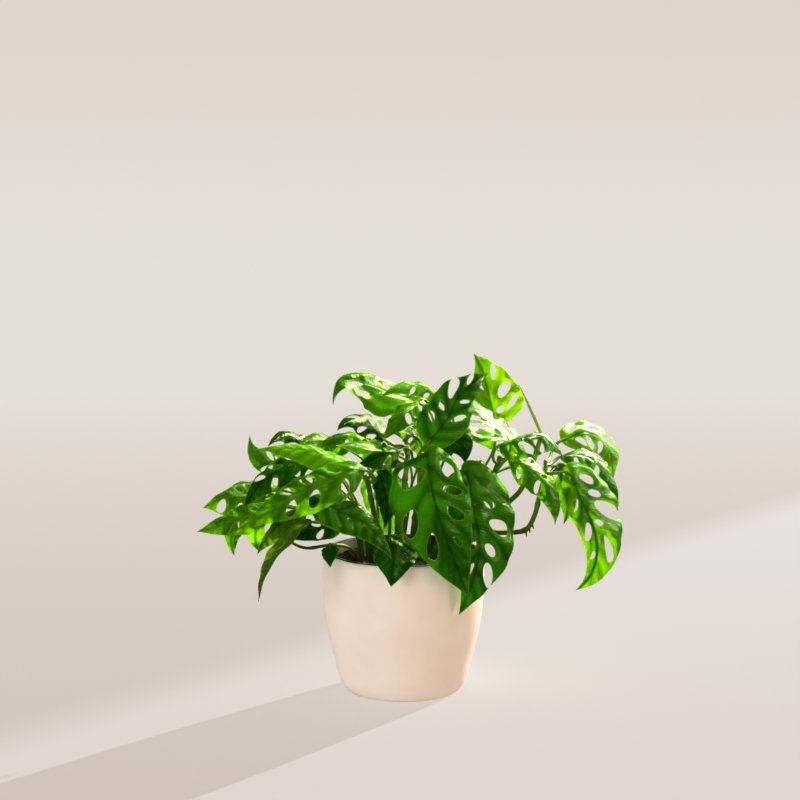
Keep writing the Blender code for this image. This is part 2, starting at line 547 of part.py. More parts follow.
class Crown:
    """The whole plant above the soil, with each blade and stalk bent clear of the others."""

    DEPTH_STEPS = (0, 3, -3, 6, -6, 9, -9, 12, -12, 15, -15, 18, 21, 24, 27, 30)
    SIGHT = Vector((0.0, 1.0, -0.15))
    STALK_REACH = 2 * STALK_RADIUS * STALK_FOOT_SWELL + CLEARANCE

    def __init__(self):
        """Place the vines, then every blade, then every stalk."""
        self.vines = {vine.name: (vine, Path(vine.points, UP)) for vine in VINES}
        self.vine_traces = {name: np.array(path.samples(TRACE_STEP))
                            for name, (_, path) in self.vines.items()}
        self.blades = {}
        self.trees = {}
        self.stalks = {}
        self.messages = []
        self.spots = self._soil_spots()
        for leaf in LEAVES:
            self._place_blade(leaf)
        self.owners, self.tree = self._one_tree()
        for leaf in LEAVES:
            self._place_stalk(leaf)

    def _soil_spots(self):
        """Places on the soil where stalks may stand, ring by ring, clear of the vines."""
        feet = [Vector(vine.points[0]) for vine in VINES]
        spots = []
        for ring in range(SPOT_RINGS + 1):
            count = max(1, 6 * ring)
            for i in range(count):
                angle = math.tau * (i + 0.5 * (ring % 2)) / count
                radius = SPOT_SPACING * ring
                spot = Vector((radius * math.cos(angle), radius * math.sin(angle), 0))
                if all((spot - Vector((f.x, f.y, 0))).length > SPOT_SPACING for f in feet):
                    spots.append(spot)
        return spots

    def _place_blade(self, leaf):
        """Move a blade along the line of sight until it is clear of the blades before it."""
        best = None
        for depth in self.DEPTH_STEPS:
            blade = Blade(leaf, self.SIGHT * depth)
            points, triangles = blade.surface()
            tree = BVHTree.FromPolygons(points, triangles)
            crossed = self._blade_conflicts(points, tree)
            if best is None or len(crossed) < len(best[0]):
                best = (crossed, depth, blade, points, triangles, tree)
            if not crossed:
                break
        crossed, depth, blade, points, triangles, tree = best
        if crossed or abs(depth) > 8:
            self.messages.append(f"{leaf.name} moved {depth}, meets {sorted(set(crossed))}")
        self.blades[leaf.name] = blade
        self.trees[leaf.name] = (points, triangles, tree)

    def _blade_conflicts(self, points, tree):
        """Names of the blades and vines that a blade comes too near to."""
        space = BLADE_THICKNESS + CLEARANCE
        crossed = []
        low, high = box(points, space)
        for name, (others, _, other) in self.trees.items():
            near, far = box(others, 0.0)
            if any(low[k] > far[k] or high[k] < near[k] for k in range(3)):
                continue
            if tree.overlap(other):
                crossed.append(name)
            elif any(other.find_nearest(p, space)[0] for p in points):
                crossed.append(name)
            elif any(tree.find_nearest(p, space)[0] for p in others):
                crossed.append(name)
        for name, trace in self.vine_traces.items():
            room = self.vines[name][0].radius + space
            if any(tree.find_nearest(p, room)[0] for p in trace):
                crossed.append(name)
        return crossed

    def _one_tree(self):
        """All the blades' triangles in one tree, with the leaf that each belongs to."""
        points, triangles, owners = [], [], []
        for name, (own_points, own_triangles, _) in self.trees.items():
            start = len(points)
            points += own_points
            triangles += [tuple(start + i for i in t) for t in own_triangles]
            owners += [name] * len(own_triangles)
        return owners, BVHTree.FromPolygons(points, triangles)

    def _seats(self, blade):
        """Seats that a stalk may take, the nearest first: a point and the way it sets off."""
        base = blade.rib.point(0.0)
        if blade.leaf.carrier == "soil":
            wish = Vector((base.x * 0.42, base.y * 0.50, 0))
            if wish.length > SPOT_SPACING * SPOT_RINGS:
                wish = wish.normalized() * SPOT_SPACING * SPOT_RINGS
            order = sorted(self.spots, key=lambda s: (s - wish).length)
            for spot in order[:SEATS_TRIED]:
                yield (Vector((spot.x, spot.y, STEM_FOOT)), UP), spot
            return
        rings, radii = vine_rings(*self.vines[blade.leaf.carrier])
        behind = base - blade.arrive * 6
        places = []
        for i in range(6, 61):
            stage = i / 60 * (len(rings) - 1)
            k = min(int(stage), len(rings) - 2)
            places.append((rings[k].lerp(rings[k + 1], stage - k),
                           (rings[k + 1] - rings[k]).normalized(), radii[k]))
        places.sort(key=lambda place: (place[0] - behind).length)
        for axis, along, radius in places[:SEATS_TRIED]:
            out = behind - axis
            out = (out - along * out.dot(along)).normalized()
            yield (axis + out * (radius + STALK_SEAT_GAP), out), None

    def _bends(self):
        """Sideways bows to try on a stalk, the slightest first."""
        yield Vector()
        for size in BOWS:
            for i in range(BOW_WAYS):
                angle = math.tau * i / BOW_WAYS
                yield Vector((size * math.cos(angle), size * math.sin(angle), 0))

    def _stalk_conflicts(self, stalk, leaf):
        """Names of what a stalk comes too near to: other stems, and if none, then blades."""
        crossed = [name for name, other in self.stalks.items()
                   if nearest(stalk.trace, other.trace) < self.STALK_REACH]
        for name, trace in self.vine_traces.items():
            room = self.vines[name][0].radius + STALK_RADIUS * STALK_FOOT_SWELL + CLEARANCE
            start = SEAT_TRACE if name == leaf.carrier else 0
            if nearest(stalk.trace[start:], trace) < room:
                crossed.append(name)
        if crossed:
            return crossed * STEM_WEIGHT
        room = STALK_RADIUS * STALK_FOOT_SWELL + BLADE_THICKNESS / 2 + CLEARANCE
        own_end = len(stalk.trace) - OWN_TRACE
        for i, point in enumerate(stalk.trace):
            for _, _, index, _ in self.tree.find_nearest_range(Vector(point), room):
                if self.owners[index] != leaf.name or i < own_end:
                    crossed.append(self.owners[index])
        return crossed

    def _place_stalk(self, leaf):
        """Try seats and bows until a stalk is clear of everything placed before it."""
        blade = self.blades[leaf.name]
        best = None
        for seat, spot in self._seats(blade):
            for bend in self._bends():
                stalk = Stalk(blade, seat, bend)
                crossed = self._stalk_conflicts(stalk, leaf)
                if best is None or len(crossed) < len(best[0]):
                    best = (crossed, stalk, spot)
                if not crossed:
                    break
            if not best[0]:
                break
        crossed, stalk, spot = best
        if crossed:
            self.messages.append(f"stalk of {leaf.name} meets {sorted(set(crossed))}")
        if spot is not None:
            self.spots.remove(spot)
            stalk.points.insert(0, rooted(stalk.points[0]))
        self.stalks[leaf.name] = stalk


def clear_scene():
    """Remove every object of the start-up scene."""
    for thing in list(bpy.data.objects):
        bpy.data.objects.remove(thing, do_unlink=True)


def new_collection(name):
    """Make a collection and link it to the scene."""
    collection = bpy.data.collections.new(name)
    bpy.context.scene.collection.children.link(collection)
    return collection


def finish(name, colour, roughness):
    """A plain Principled material."""
    material = bpy.data.materials.new(name)
    material.use_nodes = True
    shader = material.node_tree.nodes["Principled BSDF"]
    shader.inputs["Base Color"].default_value = (*COLOURS[colour], 1.0)
    shader.inputs["Roughness"].default_value = roughness
    material.diffuse_color = (*COLOURS[colour], 1.0)
    return material


def mesh_object(name, points, faces, collection):
    """An object from points in millimetres and faces."""
    mesh = bpy.data.meshes.new(name)
    mesh.from_pydata([Vector(p) * MM for p in points], [], faces)
    mesh.update()
    thing = bpy.data.objects.new(name, mesh)
    collection.objects.link(thing)
    return thing


def turned(name, profile, sides, collection):
    """A body of revolution from a closed profile of radius and height, with a Screw."""
    points = [(radius, 0.0, height) for radius, height in profile]
    mesh = bpy.data.meshes.new(name)
    mesh.from_pydata([Vector(p) * MM for p in points], [(i, i + 1) for i in range(len(points) - 1)],
                     [])
    thing = bpy.data.objects.new(name, mesh)
    collection.objects.link(thing)
    screw = thing.modifiers.new("Turned", "SCREW")
    screw.axis = "Z"
    screw.angle = math.tau
    screw.steps = sides
    screw.render_steps = sides
    screw.use_merge_vertices = True
    screw.merge_threshold = 0.00001
    screw.use_smooth_shade = True
    return thing


def tube(name, points, radii, rings, collection):
    """A mesh tube with filled ends along points, from a bevelled curve."""
    curve = bpy.data.curves.new(name, "CURVE")
    curve.dimensions = "3D"
    curve.bevel_depth = MM
    curve.bevel_resolution = rings
    curve.use_fill_caps = True
    spline = curve.splines.new("POLY")
    spline.points.add(len(points) - 1)
    for knot, place, radius in zip(spline.points, points, radii):
        knot.co = (*(Vector(place) * MM), 1.0)
        knot.radius = radius
    source = bpy.data.objects.new(name + "_route", curve)
    collection.objects.link(source)
    bpy.context.view_layer.update()
    evaluated = source.evaluated_get(bpy.context.evaluated_depsgraph_get())
    mesh = bpy.data.meshes.new_from_object(evaluated)
    mesh.name = name
    thing = bpy.data.objects.new(name, mesh)
    thing.matrix_world = source.matrix_world
    collection.objects.link(thing)
    bpy.data.objects.remove(source, do_unlink=True)
    welded = bmesh.new()
    welded.from_mesh(mesh)
    bmesh.ops.remove_doubles(welded, verts=welded.verts, dist=0.00001)
    bmesh.ops.recalc_face_normals(welded, faces=welded.faces)
    welded.to_mesh(mesh)
    welded.free()
    return thing


def make_cutter(thing):
    """Mark an object as a shaping aid that isn't part of the model."""
    thing.hide_render = True
    thing.display_type = "WIRE"


def arc(centre_radius, centre_height, radius, start, end, steps):
    """Points of a small arc in a turned profile, angles in degrees from outwards."""
    points = []
    for i in range(steps + 1):
        angle = math.radians(start + (end - start) * i / steps)
        points.append((centre_radius + radius * math.cos(angle),
                       centre_height + radius * math.sin(angle)))
    return points


def make_pot(parts):
    """The outer pot: rounded foot, swelling wall and a plain rounded lip."""
    lip_radius = POT_WALL / 2
    lip = arc(POT_OUTSIDE[-1][0] - lip_radius, POT_HEIGHT - lip_radius, lip_radius, 0, 180, 4)
    inner = [(radius - POT_WALL, max(height, POT_FLOOR)) for radius, height in POT_OUTSIDE[3:-1]]
    floor = [(POT_OUTSIDE[2][0] - POT_WALL - 2.0, POT_FLOOR)]
    outside = list(POT_OUTSIDE[:-1]) + lip
    profile = [(0.0, 0.0)] + outside + list(reversed(inner)) + floor + [(0.0, POT_FLOOR)]
    profile.reverse()
    pot = turned("pot", profile, POT_SIDES, parts)
    pot.data.materials.append(finish("pale_clay", "clay", 0.75))


def make_nursery_pot(parts, cutters):
    """The thin black pot inside, with a rolled rim and drain holes in its floor."""
    rim_under = CUP_TOP - CUP_RIM_DEPTH
    slope = (CUP_TOP_RADIUS - CUP_FOOT_RADIUS) / (CUP_TOP - CUP_FOOT)
    under_radius = CUP_FOOT_RADIUS + slope * (rim_under - CUP_FOOT)
    profile = [
        (0.0, CUP_FOOT), (CUP_FOOT_RADIUS, CUP_FOOT), (under_radius, rim_under),
        (CUP_TOP_RADIUS + CUP_RIM_WIDTH, rim_under), (CUP_TOP_RADIUS + CUP_RIM_WIDTH, CUP_TOP),
        (CUP_TOP_RADIUS - CUP_WALL, CUP_TOP),
        (CUP_FOOT_RADIUS - CUP_WALL, CUP_FOOT + CUP_WALL), (0.0, CUP_FOOT + CUP_WALL),
    ]
    profile.reverse()
    cup = turned("nursery_pot", profile, CUP_SIDES, parts)
    drains = bpy.data.collections.new("Drains")
    cutters.children.link(drains)
    for i in range(DRAIN_COUNT):
        angle = math.tau * i / DRAIN_COUNT
        shape = bmesh.new()
        bmesh.ops.create_cone(shape, cap_ends=True, segments=10, radius1=DRAIN_RADIUS * MM,
                              radius2=DRAIN_RADIUS * MM, depth=8 * CUP_WALL * MM)
        mesh = bpy.data.meshes.new("drain_cutter")
        shape.to_mesh(mesh)
        shape.free()
        cutter = bpy.data.objects.new("drain_cutter", mesh)
        cutter.location = Vector((DRAIN_RING * math.cos(angle), DRAIN_RING * math.sin(angle),
                                  CUP_FOOT)) * MM
        drains.objects.link(cutter)
        make_cutter(cutter)
    cut = cup.modifiers.new("Drains", "BOOLEAN")
    cut.operation = "DIFFERENCE"
    cut.operand_type = "COLLECTION"
    cut.collection = drains
    cup.data.materials.append(finish("black_plastic", "black", 0.5))


def soil_height(x, y):
    """Height of the soil's surface, gently crowned and uneven."""
    radius = math.hypot(x, y)
    bump = math.sin(0.31 * x + 1.3) * math.cos(0.27 * y) + 0.6 * math.sin(0.53 * y - 0.41 * x)
    return SOIL_TOP + SOIL_CROWN * (1 - (radius / CUP_TOP_RADIUS) ** 2) + SOIL_BUMP * bump


def make_soil(crown, parts, cutters):
    """The soil that fills the nursery pot, with a plain hole for each stalk and vine."""
    slope = (CUP_TOP_RADIUS - CUP_FOOT_RADIUS) / (CUP_TOP - CUP_FOOT)
    bottom = CUP_FOOT + CUP_WALL + SEAT_GAP
    gap = CUP_WALL + SEAT_GAP + 0.1

    def wall(height):
        return CUP_FOOT_RADIUS + slope * (height - CUP_FOOT) - gap

    points, faces = [], []
    for ring in range(SOIL_RINGS, 0, -1):
        radius = (wall(SOIL_TOP) - 0.4) * ring / SOIL_RINGS
        for i in range(SOIL_SIDES):
            angle = math.tau * i / SOIL_SIDES
            x, y = radius * math.cos(angle), radius * math.sin(angle)
            height = soil_height(x, y) if ring < SOIL_RINGS else SOIL_TOP - 1.0
            points.append((x, y, height))
    points.append((0.0, 0.0, soil_height(0.0, 0.0)))
    top = len(points) - 1
    for ring in range(SOIL_RINGS - 1):
        for i in range(SOIL_SIDES):
            j = (i + 1) % SOIL_SIDES
            a, b = ring * SOIL_SIDES + i, ring * SOIL_SIDES + j
            faces.append((a, b, b + SOIL_SIDES))
            faces.append((a, b + SOIL_SIDES, a + SOIL_SIDES))
    inner = (SOIL_RINGS - 1) * SOIL_SIDES
    faces += [(inner + i, inner + (i + 1) % SOIL_SIDES, top) for i in range(SOIL_SIDES)]
    foot = len(points)
    for i in range(SOIL_SIDES):
        angle = math.tau * i / SOIL_SIDES
        radius = wall(bottom) - 0.4
        points.append((radius * math.cos(angle), radius * math.sin(angle), bottom))
    faces += [(foot + i, foot + (i + 1) % SOIL_SIDES, (i + 1) % SOIL_SIDES, i)
              for i in range(SOIL_SIDES)]
    faces.append(tuple(reversed(range(foot, foot + SOIL_SIDES))))
    soil = mesh_object("soil", points, faces, parts)

    holes = bpy.data.collections.new("Stem holes")
    cutters.children.link(holes)
    seats = [(rooted(vine.points[0]), vine.radius, VINE_SIDES) for vine in VINES]
    seats += [(stalk.points[0], stalk.radii()[0], 4) for stalk in crown.stalks.values()
              if stalk.points[0].z < SOIL_TOP]
    for (x, y, z), radius, sides in seats:
        reach = (radius + HOLE_GAP) / math.cos(math.pi / sides)
        cutter = tube("stem_hole", ((x, y, z - HOLE_GAP), (x, y, STEM_FOOT + ROOTED)),
                      (reach, reach), sides // 2 - 2, holes)
        make_cutter(cutter)
    cut = soil.modifiers.new("Stem holes", "BOOLEAN")
    cut.operation = "DIFFERENCE"
    cut.operand_type = "COLLECTION"
    cut.collection = holes
    soil.data.materials.append(finish("potting_soil", "soil", 0.95))


def make_vines(crown, parts):
    """The stems, each standing in the soil."""
    skin = finish("green_stem", "stem", 0.45)
    for vine, path in crown.vines.values():
        rings, radii = vine_rings(vine, path)
        stem = tube(vine.name, [rooted(vine.points[0])] + rings, [vine.radius] + radii,
                    VINE_SIDES // 2 - 2, parts)
        stem.data.materials.append(skin)


def make_leaves(crown, parts, cutters):
    """Each leaf: the blade, thickened, joined with its stalk."""
    skins = {colour: finish("leaf_" + colour, colour, 0.3) for colour in ("green", "dark", "lime")}
    for leaf in LEAVES:
        points, triangles, _ = crown.trees[leaf.name]
        blade = mesh_object(leaf.name, points, triangles, parts)
        blade.data.materials.append(skins[leaf.colour])
        sheet = blade.modifiers.new("Thickness", "SOLIDIFY")
        sheet.thickness = BLADE_THICKNESS * MM
        sheet.offset = 0.0
        stalk = crown.stalks[leaf.name]
        stem = tube(leaf.name + "_stalk", stalk.points, stalk.radii(), 0, cutters)
        make_cutter(stem)
        join = blade.modifiers.new("Stalk", "BOOLEAN")
        join.operation = "UNION"
        join.object = stem


def make_spear(parts):
    """The rolled new leaf at the right, a slim tapering spike."""
    points = ((125.1, -24.85, 240.4), (126, -23.2, 244.5), (122, -22, 255), (116.5, -20, 267),
              (111, -20, 279), (105.5, -20, 289.5))
    radii = (1.9, 2.1, 2.2, 1.9, 1.1, 0.35)
    spear = tube("spear_leaf", points, radii, 2, parts)
    spear.data.materials.append(finish("leaf_spear", "green", 0.35))


def main():
    """Build the potted plant."""
    clear_scene()
    parts = new_collection(PART_NAME)
    cutters = new_collection("Cutters")
    crown = Crown()
    for line in crown.messages:
        print("CROWN", line)
    make_pot(parts)
    make_nursery_pot(parts, cutters)
    make_soil(crown, parts, cutters)
    make_vines(crown, parts)
    make_leaves(crown, parts, cutters)
    make_spear(parts)


if __name__ == "__main__":
    main()
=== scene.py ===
"""The look of a potted monstera adansonii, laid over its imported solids.

Lengths in the plans and classes are millimetres. Meshes are made in metres, in the row frame:
+Z is up, the origin is the centre of the pot's foot, and the front of the plant faces -Y.
"""
import sys
import json
import logging
import math
import random
from dataclasses import dataclass, replace
from enum import Enum
from functools import cached_property
from typing import Iterator, Sequence

import bmesh
import bpy
import numpy as np
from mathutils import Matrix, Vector
from mathutils.geometry import delaunay_2d_cdt
from mathutils.kdtree import KDTree

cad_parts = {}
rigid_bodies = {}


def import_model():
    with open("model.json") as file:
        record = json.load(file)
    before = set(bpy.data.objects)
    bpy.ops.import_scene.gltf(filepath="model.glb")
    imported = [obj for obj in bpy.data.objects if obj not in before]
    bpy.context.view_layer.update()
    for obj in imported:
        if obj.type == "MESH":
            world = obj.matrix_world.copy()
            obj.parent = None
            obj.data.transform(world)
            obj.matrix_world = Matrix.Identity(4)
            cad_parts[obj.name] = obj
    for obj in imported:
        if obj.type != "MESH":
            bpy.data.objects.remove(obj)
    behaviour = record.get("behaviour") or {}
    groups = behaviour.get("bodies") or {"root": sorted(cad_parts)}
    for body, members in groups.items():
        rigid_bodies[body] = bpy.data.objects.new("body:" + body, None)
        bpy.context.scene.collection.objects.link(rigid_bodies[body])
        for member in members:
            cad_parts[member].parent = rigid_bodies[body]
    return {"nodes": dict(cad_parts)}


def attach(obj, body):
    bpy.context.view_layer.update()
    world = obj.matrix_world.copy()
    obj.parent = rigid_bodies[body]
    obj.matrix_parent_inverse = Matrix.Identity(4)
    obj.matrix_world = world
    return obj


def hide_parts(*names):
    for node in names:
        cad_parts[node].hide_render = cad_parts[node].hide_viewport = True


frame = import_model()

log = logging.getLogger("potted_monstera")

Thing = bpy.types.Object
Material = bpy.types.Material
Socket = bpy.types.NodeSocket

MM = 0.001
UP = Vector((0.0, 0.0, 1.0))
BODY = "root"
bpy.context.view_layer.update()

# Laws that the leaves and stems share with their solids
BASE_ROUNDNESS = 0.58
TIP_TAPER = 1.2
RIPPLE = 0.07
RIPPLES = 2.5
STALK_RADIUS = 1.2
STALK_FOOT_SWELL = 1.45
STALK_POINTS = 5
STALK_INTO_BLADE = 6.0
STALK_SEAT_GAP = 0.5
STEM_FOOT = 127.0
SOIL_TOP = 123.0
ROOTED = 11.0
VINE_STEP = 17.0
VINE_TAPER = 0.12
WIDEST = BASE_ROUNDNESS / (BASE_ROUNDNESS + TIP_TAPER)
PEAK = WIDEST ** BASE_ROUNDNESS * (1 - WIDEST) ** TIP_TAPER

# Groove and dome of round bars, the groove's half width in radians
GROOVE_WIDTH = 0.55
DOME_SHARES = (0.5, 0.8, 0.96)

# Limits of the work on flat points
FAR_OFF = 99.0
BATCH = 512
TINY = 1e-9


class Tone(Enum):
    """The green of a leaf, by the record's slot for it."""

    GREEN = "leaf_green"
    # darker green for leaves that lie in shade: painted shade
    DARK = "leaf_dark"
    # lighter lime green: partly the real green of young leaves, partly painted light of the sun
    # shining through from behind
    LIME = "leaf_lime"


class Skin(Enum):
    """The finishes that a leaf may wear."""

    GREEN = "leaf_skin_green"
    RIBBED = "leaf_skin_ribbed"
    # a darker copy of the green skin, letting less light through: painted shade
    DARK = "leaf_skin_dark"
    # a lighter copy of the green skin: partly young leaves' green, partly painted light shining
    # through from behind
    LIME = "leaf_skin_lime"
    # a darker copy of the green skin, letting less light through: painted shade for the front
    # leaves
    DEEP = "leaf_skin_deep"
    NEW = "leaf_skin_new"
    OLIVE = "leaf_skin_olive"


@dataclass(frozen=True)
class Hole:
    """An oval hole in a blade.

    along and across are shares of the blade's length and half width, across being positive on
    the left half. length and width are its axes. turn is the angle from the midrib to its length.
    """

    along: float
    across: float
    length: float
    width: float
    turn: float


@dataclass(frozen=True)
class VinePlan:
    """A stem: its node, its radius, and the points that it runs through from its foot."""

    name: str
    radius: float
    points: tuple


@dataclass(frozen=True)
class LeafPlan:
    """A leaf: its node, what it grows from, its midrib from base to tip, and its form.

    faces are the ways it faces, at even steps from base to tip, and left and right its greatest
    half widths. Each half rises from the midrib by the angle cup and bends by curl on its way to
    the margin, both in degrees. Where holes is None, a rule lays them.
    """

    name: str
    carrier: str
    midrib: tuple
    faces: tuple
    left: float
    right: float
    cup: float
    curl: float
    holes: tuple | None = None
    tone: Tone = Tone.GREEN


VINES = (
    VinePlan("vine_centre", 3.0,
             ((8, -14, 127), (9, -17, 148), (13, -28, 182), (17, -43, 214), (17, -47, 230))),
    VinePlan("vine_left", 2.8,
             ((-20, -18, 127), (-22, -23, 148), (-27, -36, 176), (-31, -50, 200), (-33, -58, 211))),
    VinePlan("vine_back", 2.8,
             ((-4, 22, 127), (-3, 26, 148), (0, 36, 178), (4, 46, 208), (4, 49, 220))),
    VinePlan("vine_right", 2.4,
             ((38, -14, 127), (43, -20, 140), (56, -32, 153), (72, -40, 157), (93, -46, 158),
              (111, -48, 161), (119, -46, 173), (124, -42, 192), (129, -36, 210), (130, -32, 221))),
    VinePlan("vine_right_tall", 2.6,
             ((28, 2, 127), (38, -6, 148), (58, -18, 174), (78, -26, 200), (88, -29, 224))),
    VinePlan("vine_right_low", 2.5,
             ((26, -30, 127), (36, -33, 148), (54, -35, 164), (72, -36, 172), (90, -37, 181),
              (105, -37, 193), (115, -36, 212), (121, -30, 228), (125, -25, 240))),
    VinePlan("vine_left_runner", 1.6,
             ((-40, -34, 127), (-43, -42, 136), (-50, -58, 147), (-66, -68, 151), (-87, -66, 148),
              (-100, -62, 152), (-108, -56, 160))),
)

FRONT_CENTRE_HOLES = (
    Hole(0.17, 0.46, 27, 15, 78), Hole(0.43, 0.66, 27, 14, 24), Hole(0.61, 0.46, 28, 10, 18),
    Hole(0.15, -0.60, 15, 9, 45), Hole(0.29, -0.56, 20, 7.5, 62), Hole(0.44, -0.50, 19, 9, 38),
    Hole(0.62, -0.40, 11, 5, 20),
)
FRONT_RIGHT_HOLES = (
    Hole(0.25, -0.42, 12, 7, 50), Hole(0.41, -0.55, 22, 11, 50), Hole(0.53, -0.30, 14, 7, 45),
    Hole(0.69, -0.52, 24, 9, 18), Hole(0.50, 0.30, 10, 5, 40), Hole(0.68, 0.36, 17, 4, 12),
)
TOP_CENTRE_HOLES = (
    Hole(0.64, -0.52, 20, 9, 30), Hole(0.81, -0.45, 12, 5, 25), Hole(0.28, -0.50, 14, 6, 50),
    Hole(0.45, -0.42, 12, 5, 45), Hole(0.38, 0.45, 13, 5, 50), Hole(0.58, 0.45, 11, 4.5, 40),
)
TOP_BRIGHT_HOLES = (
    Hole(0.70, 0.50, 14, 5, 18), Hole(0.45, 0.50, 19, 9, 40), Hole(0.27, 0.66, 17, 5, 45),
    Hole(0.20, 0.26, 9, 6, 60), Hole(0.55, -0.50, 12, 4, 30),
)
FAR_RIGHT_FRONT_HOLES = (
    Hole(0.13, -0.50, 13, 7, 60), Hole(0.24, -0.46, 14, 7, 50), Hole(0.39, -0.62, 29, 13, 42),
    Hole(0.44, -0.20, 9, 4.5, 45), Hole(0.63, -0.48, 22, 7, 15), Hole(0.48, 0.42, 20, 6, 15),
    Hole(0.67, 0.34, 9, 3.5, 10), Hole(0.26, 0.50, 13, 6, 50),
)
FAR_LEFT_TIP_HOLES = (
    Hole(0.70, -0.42, 14, 9, 50), Hole(0.46, -0.55, 15, 8, 60), Hole(0.24, -0.50, 14, 6, 60),
    Hole(0.40, 0.50, 8, 4, 50),
)
CURLED_HOLES = (
    Hole(0.64, -0.14, 20, 6, 6), Hole(0.56, -0.52, 20, 6, 12), Hole(0.30, 0.50, 10, 7, 55),
    Hole(0.14, 0.45, 9, 6, 60), Hole(0.46, 0.26, 7, 5, 45),
)
NO_HOLES = ()

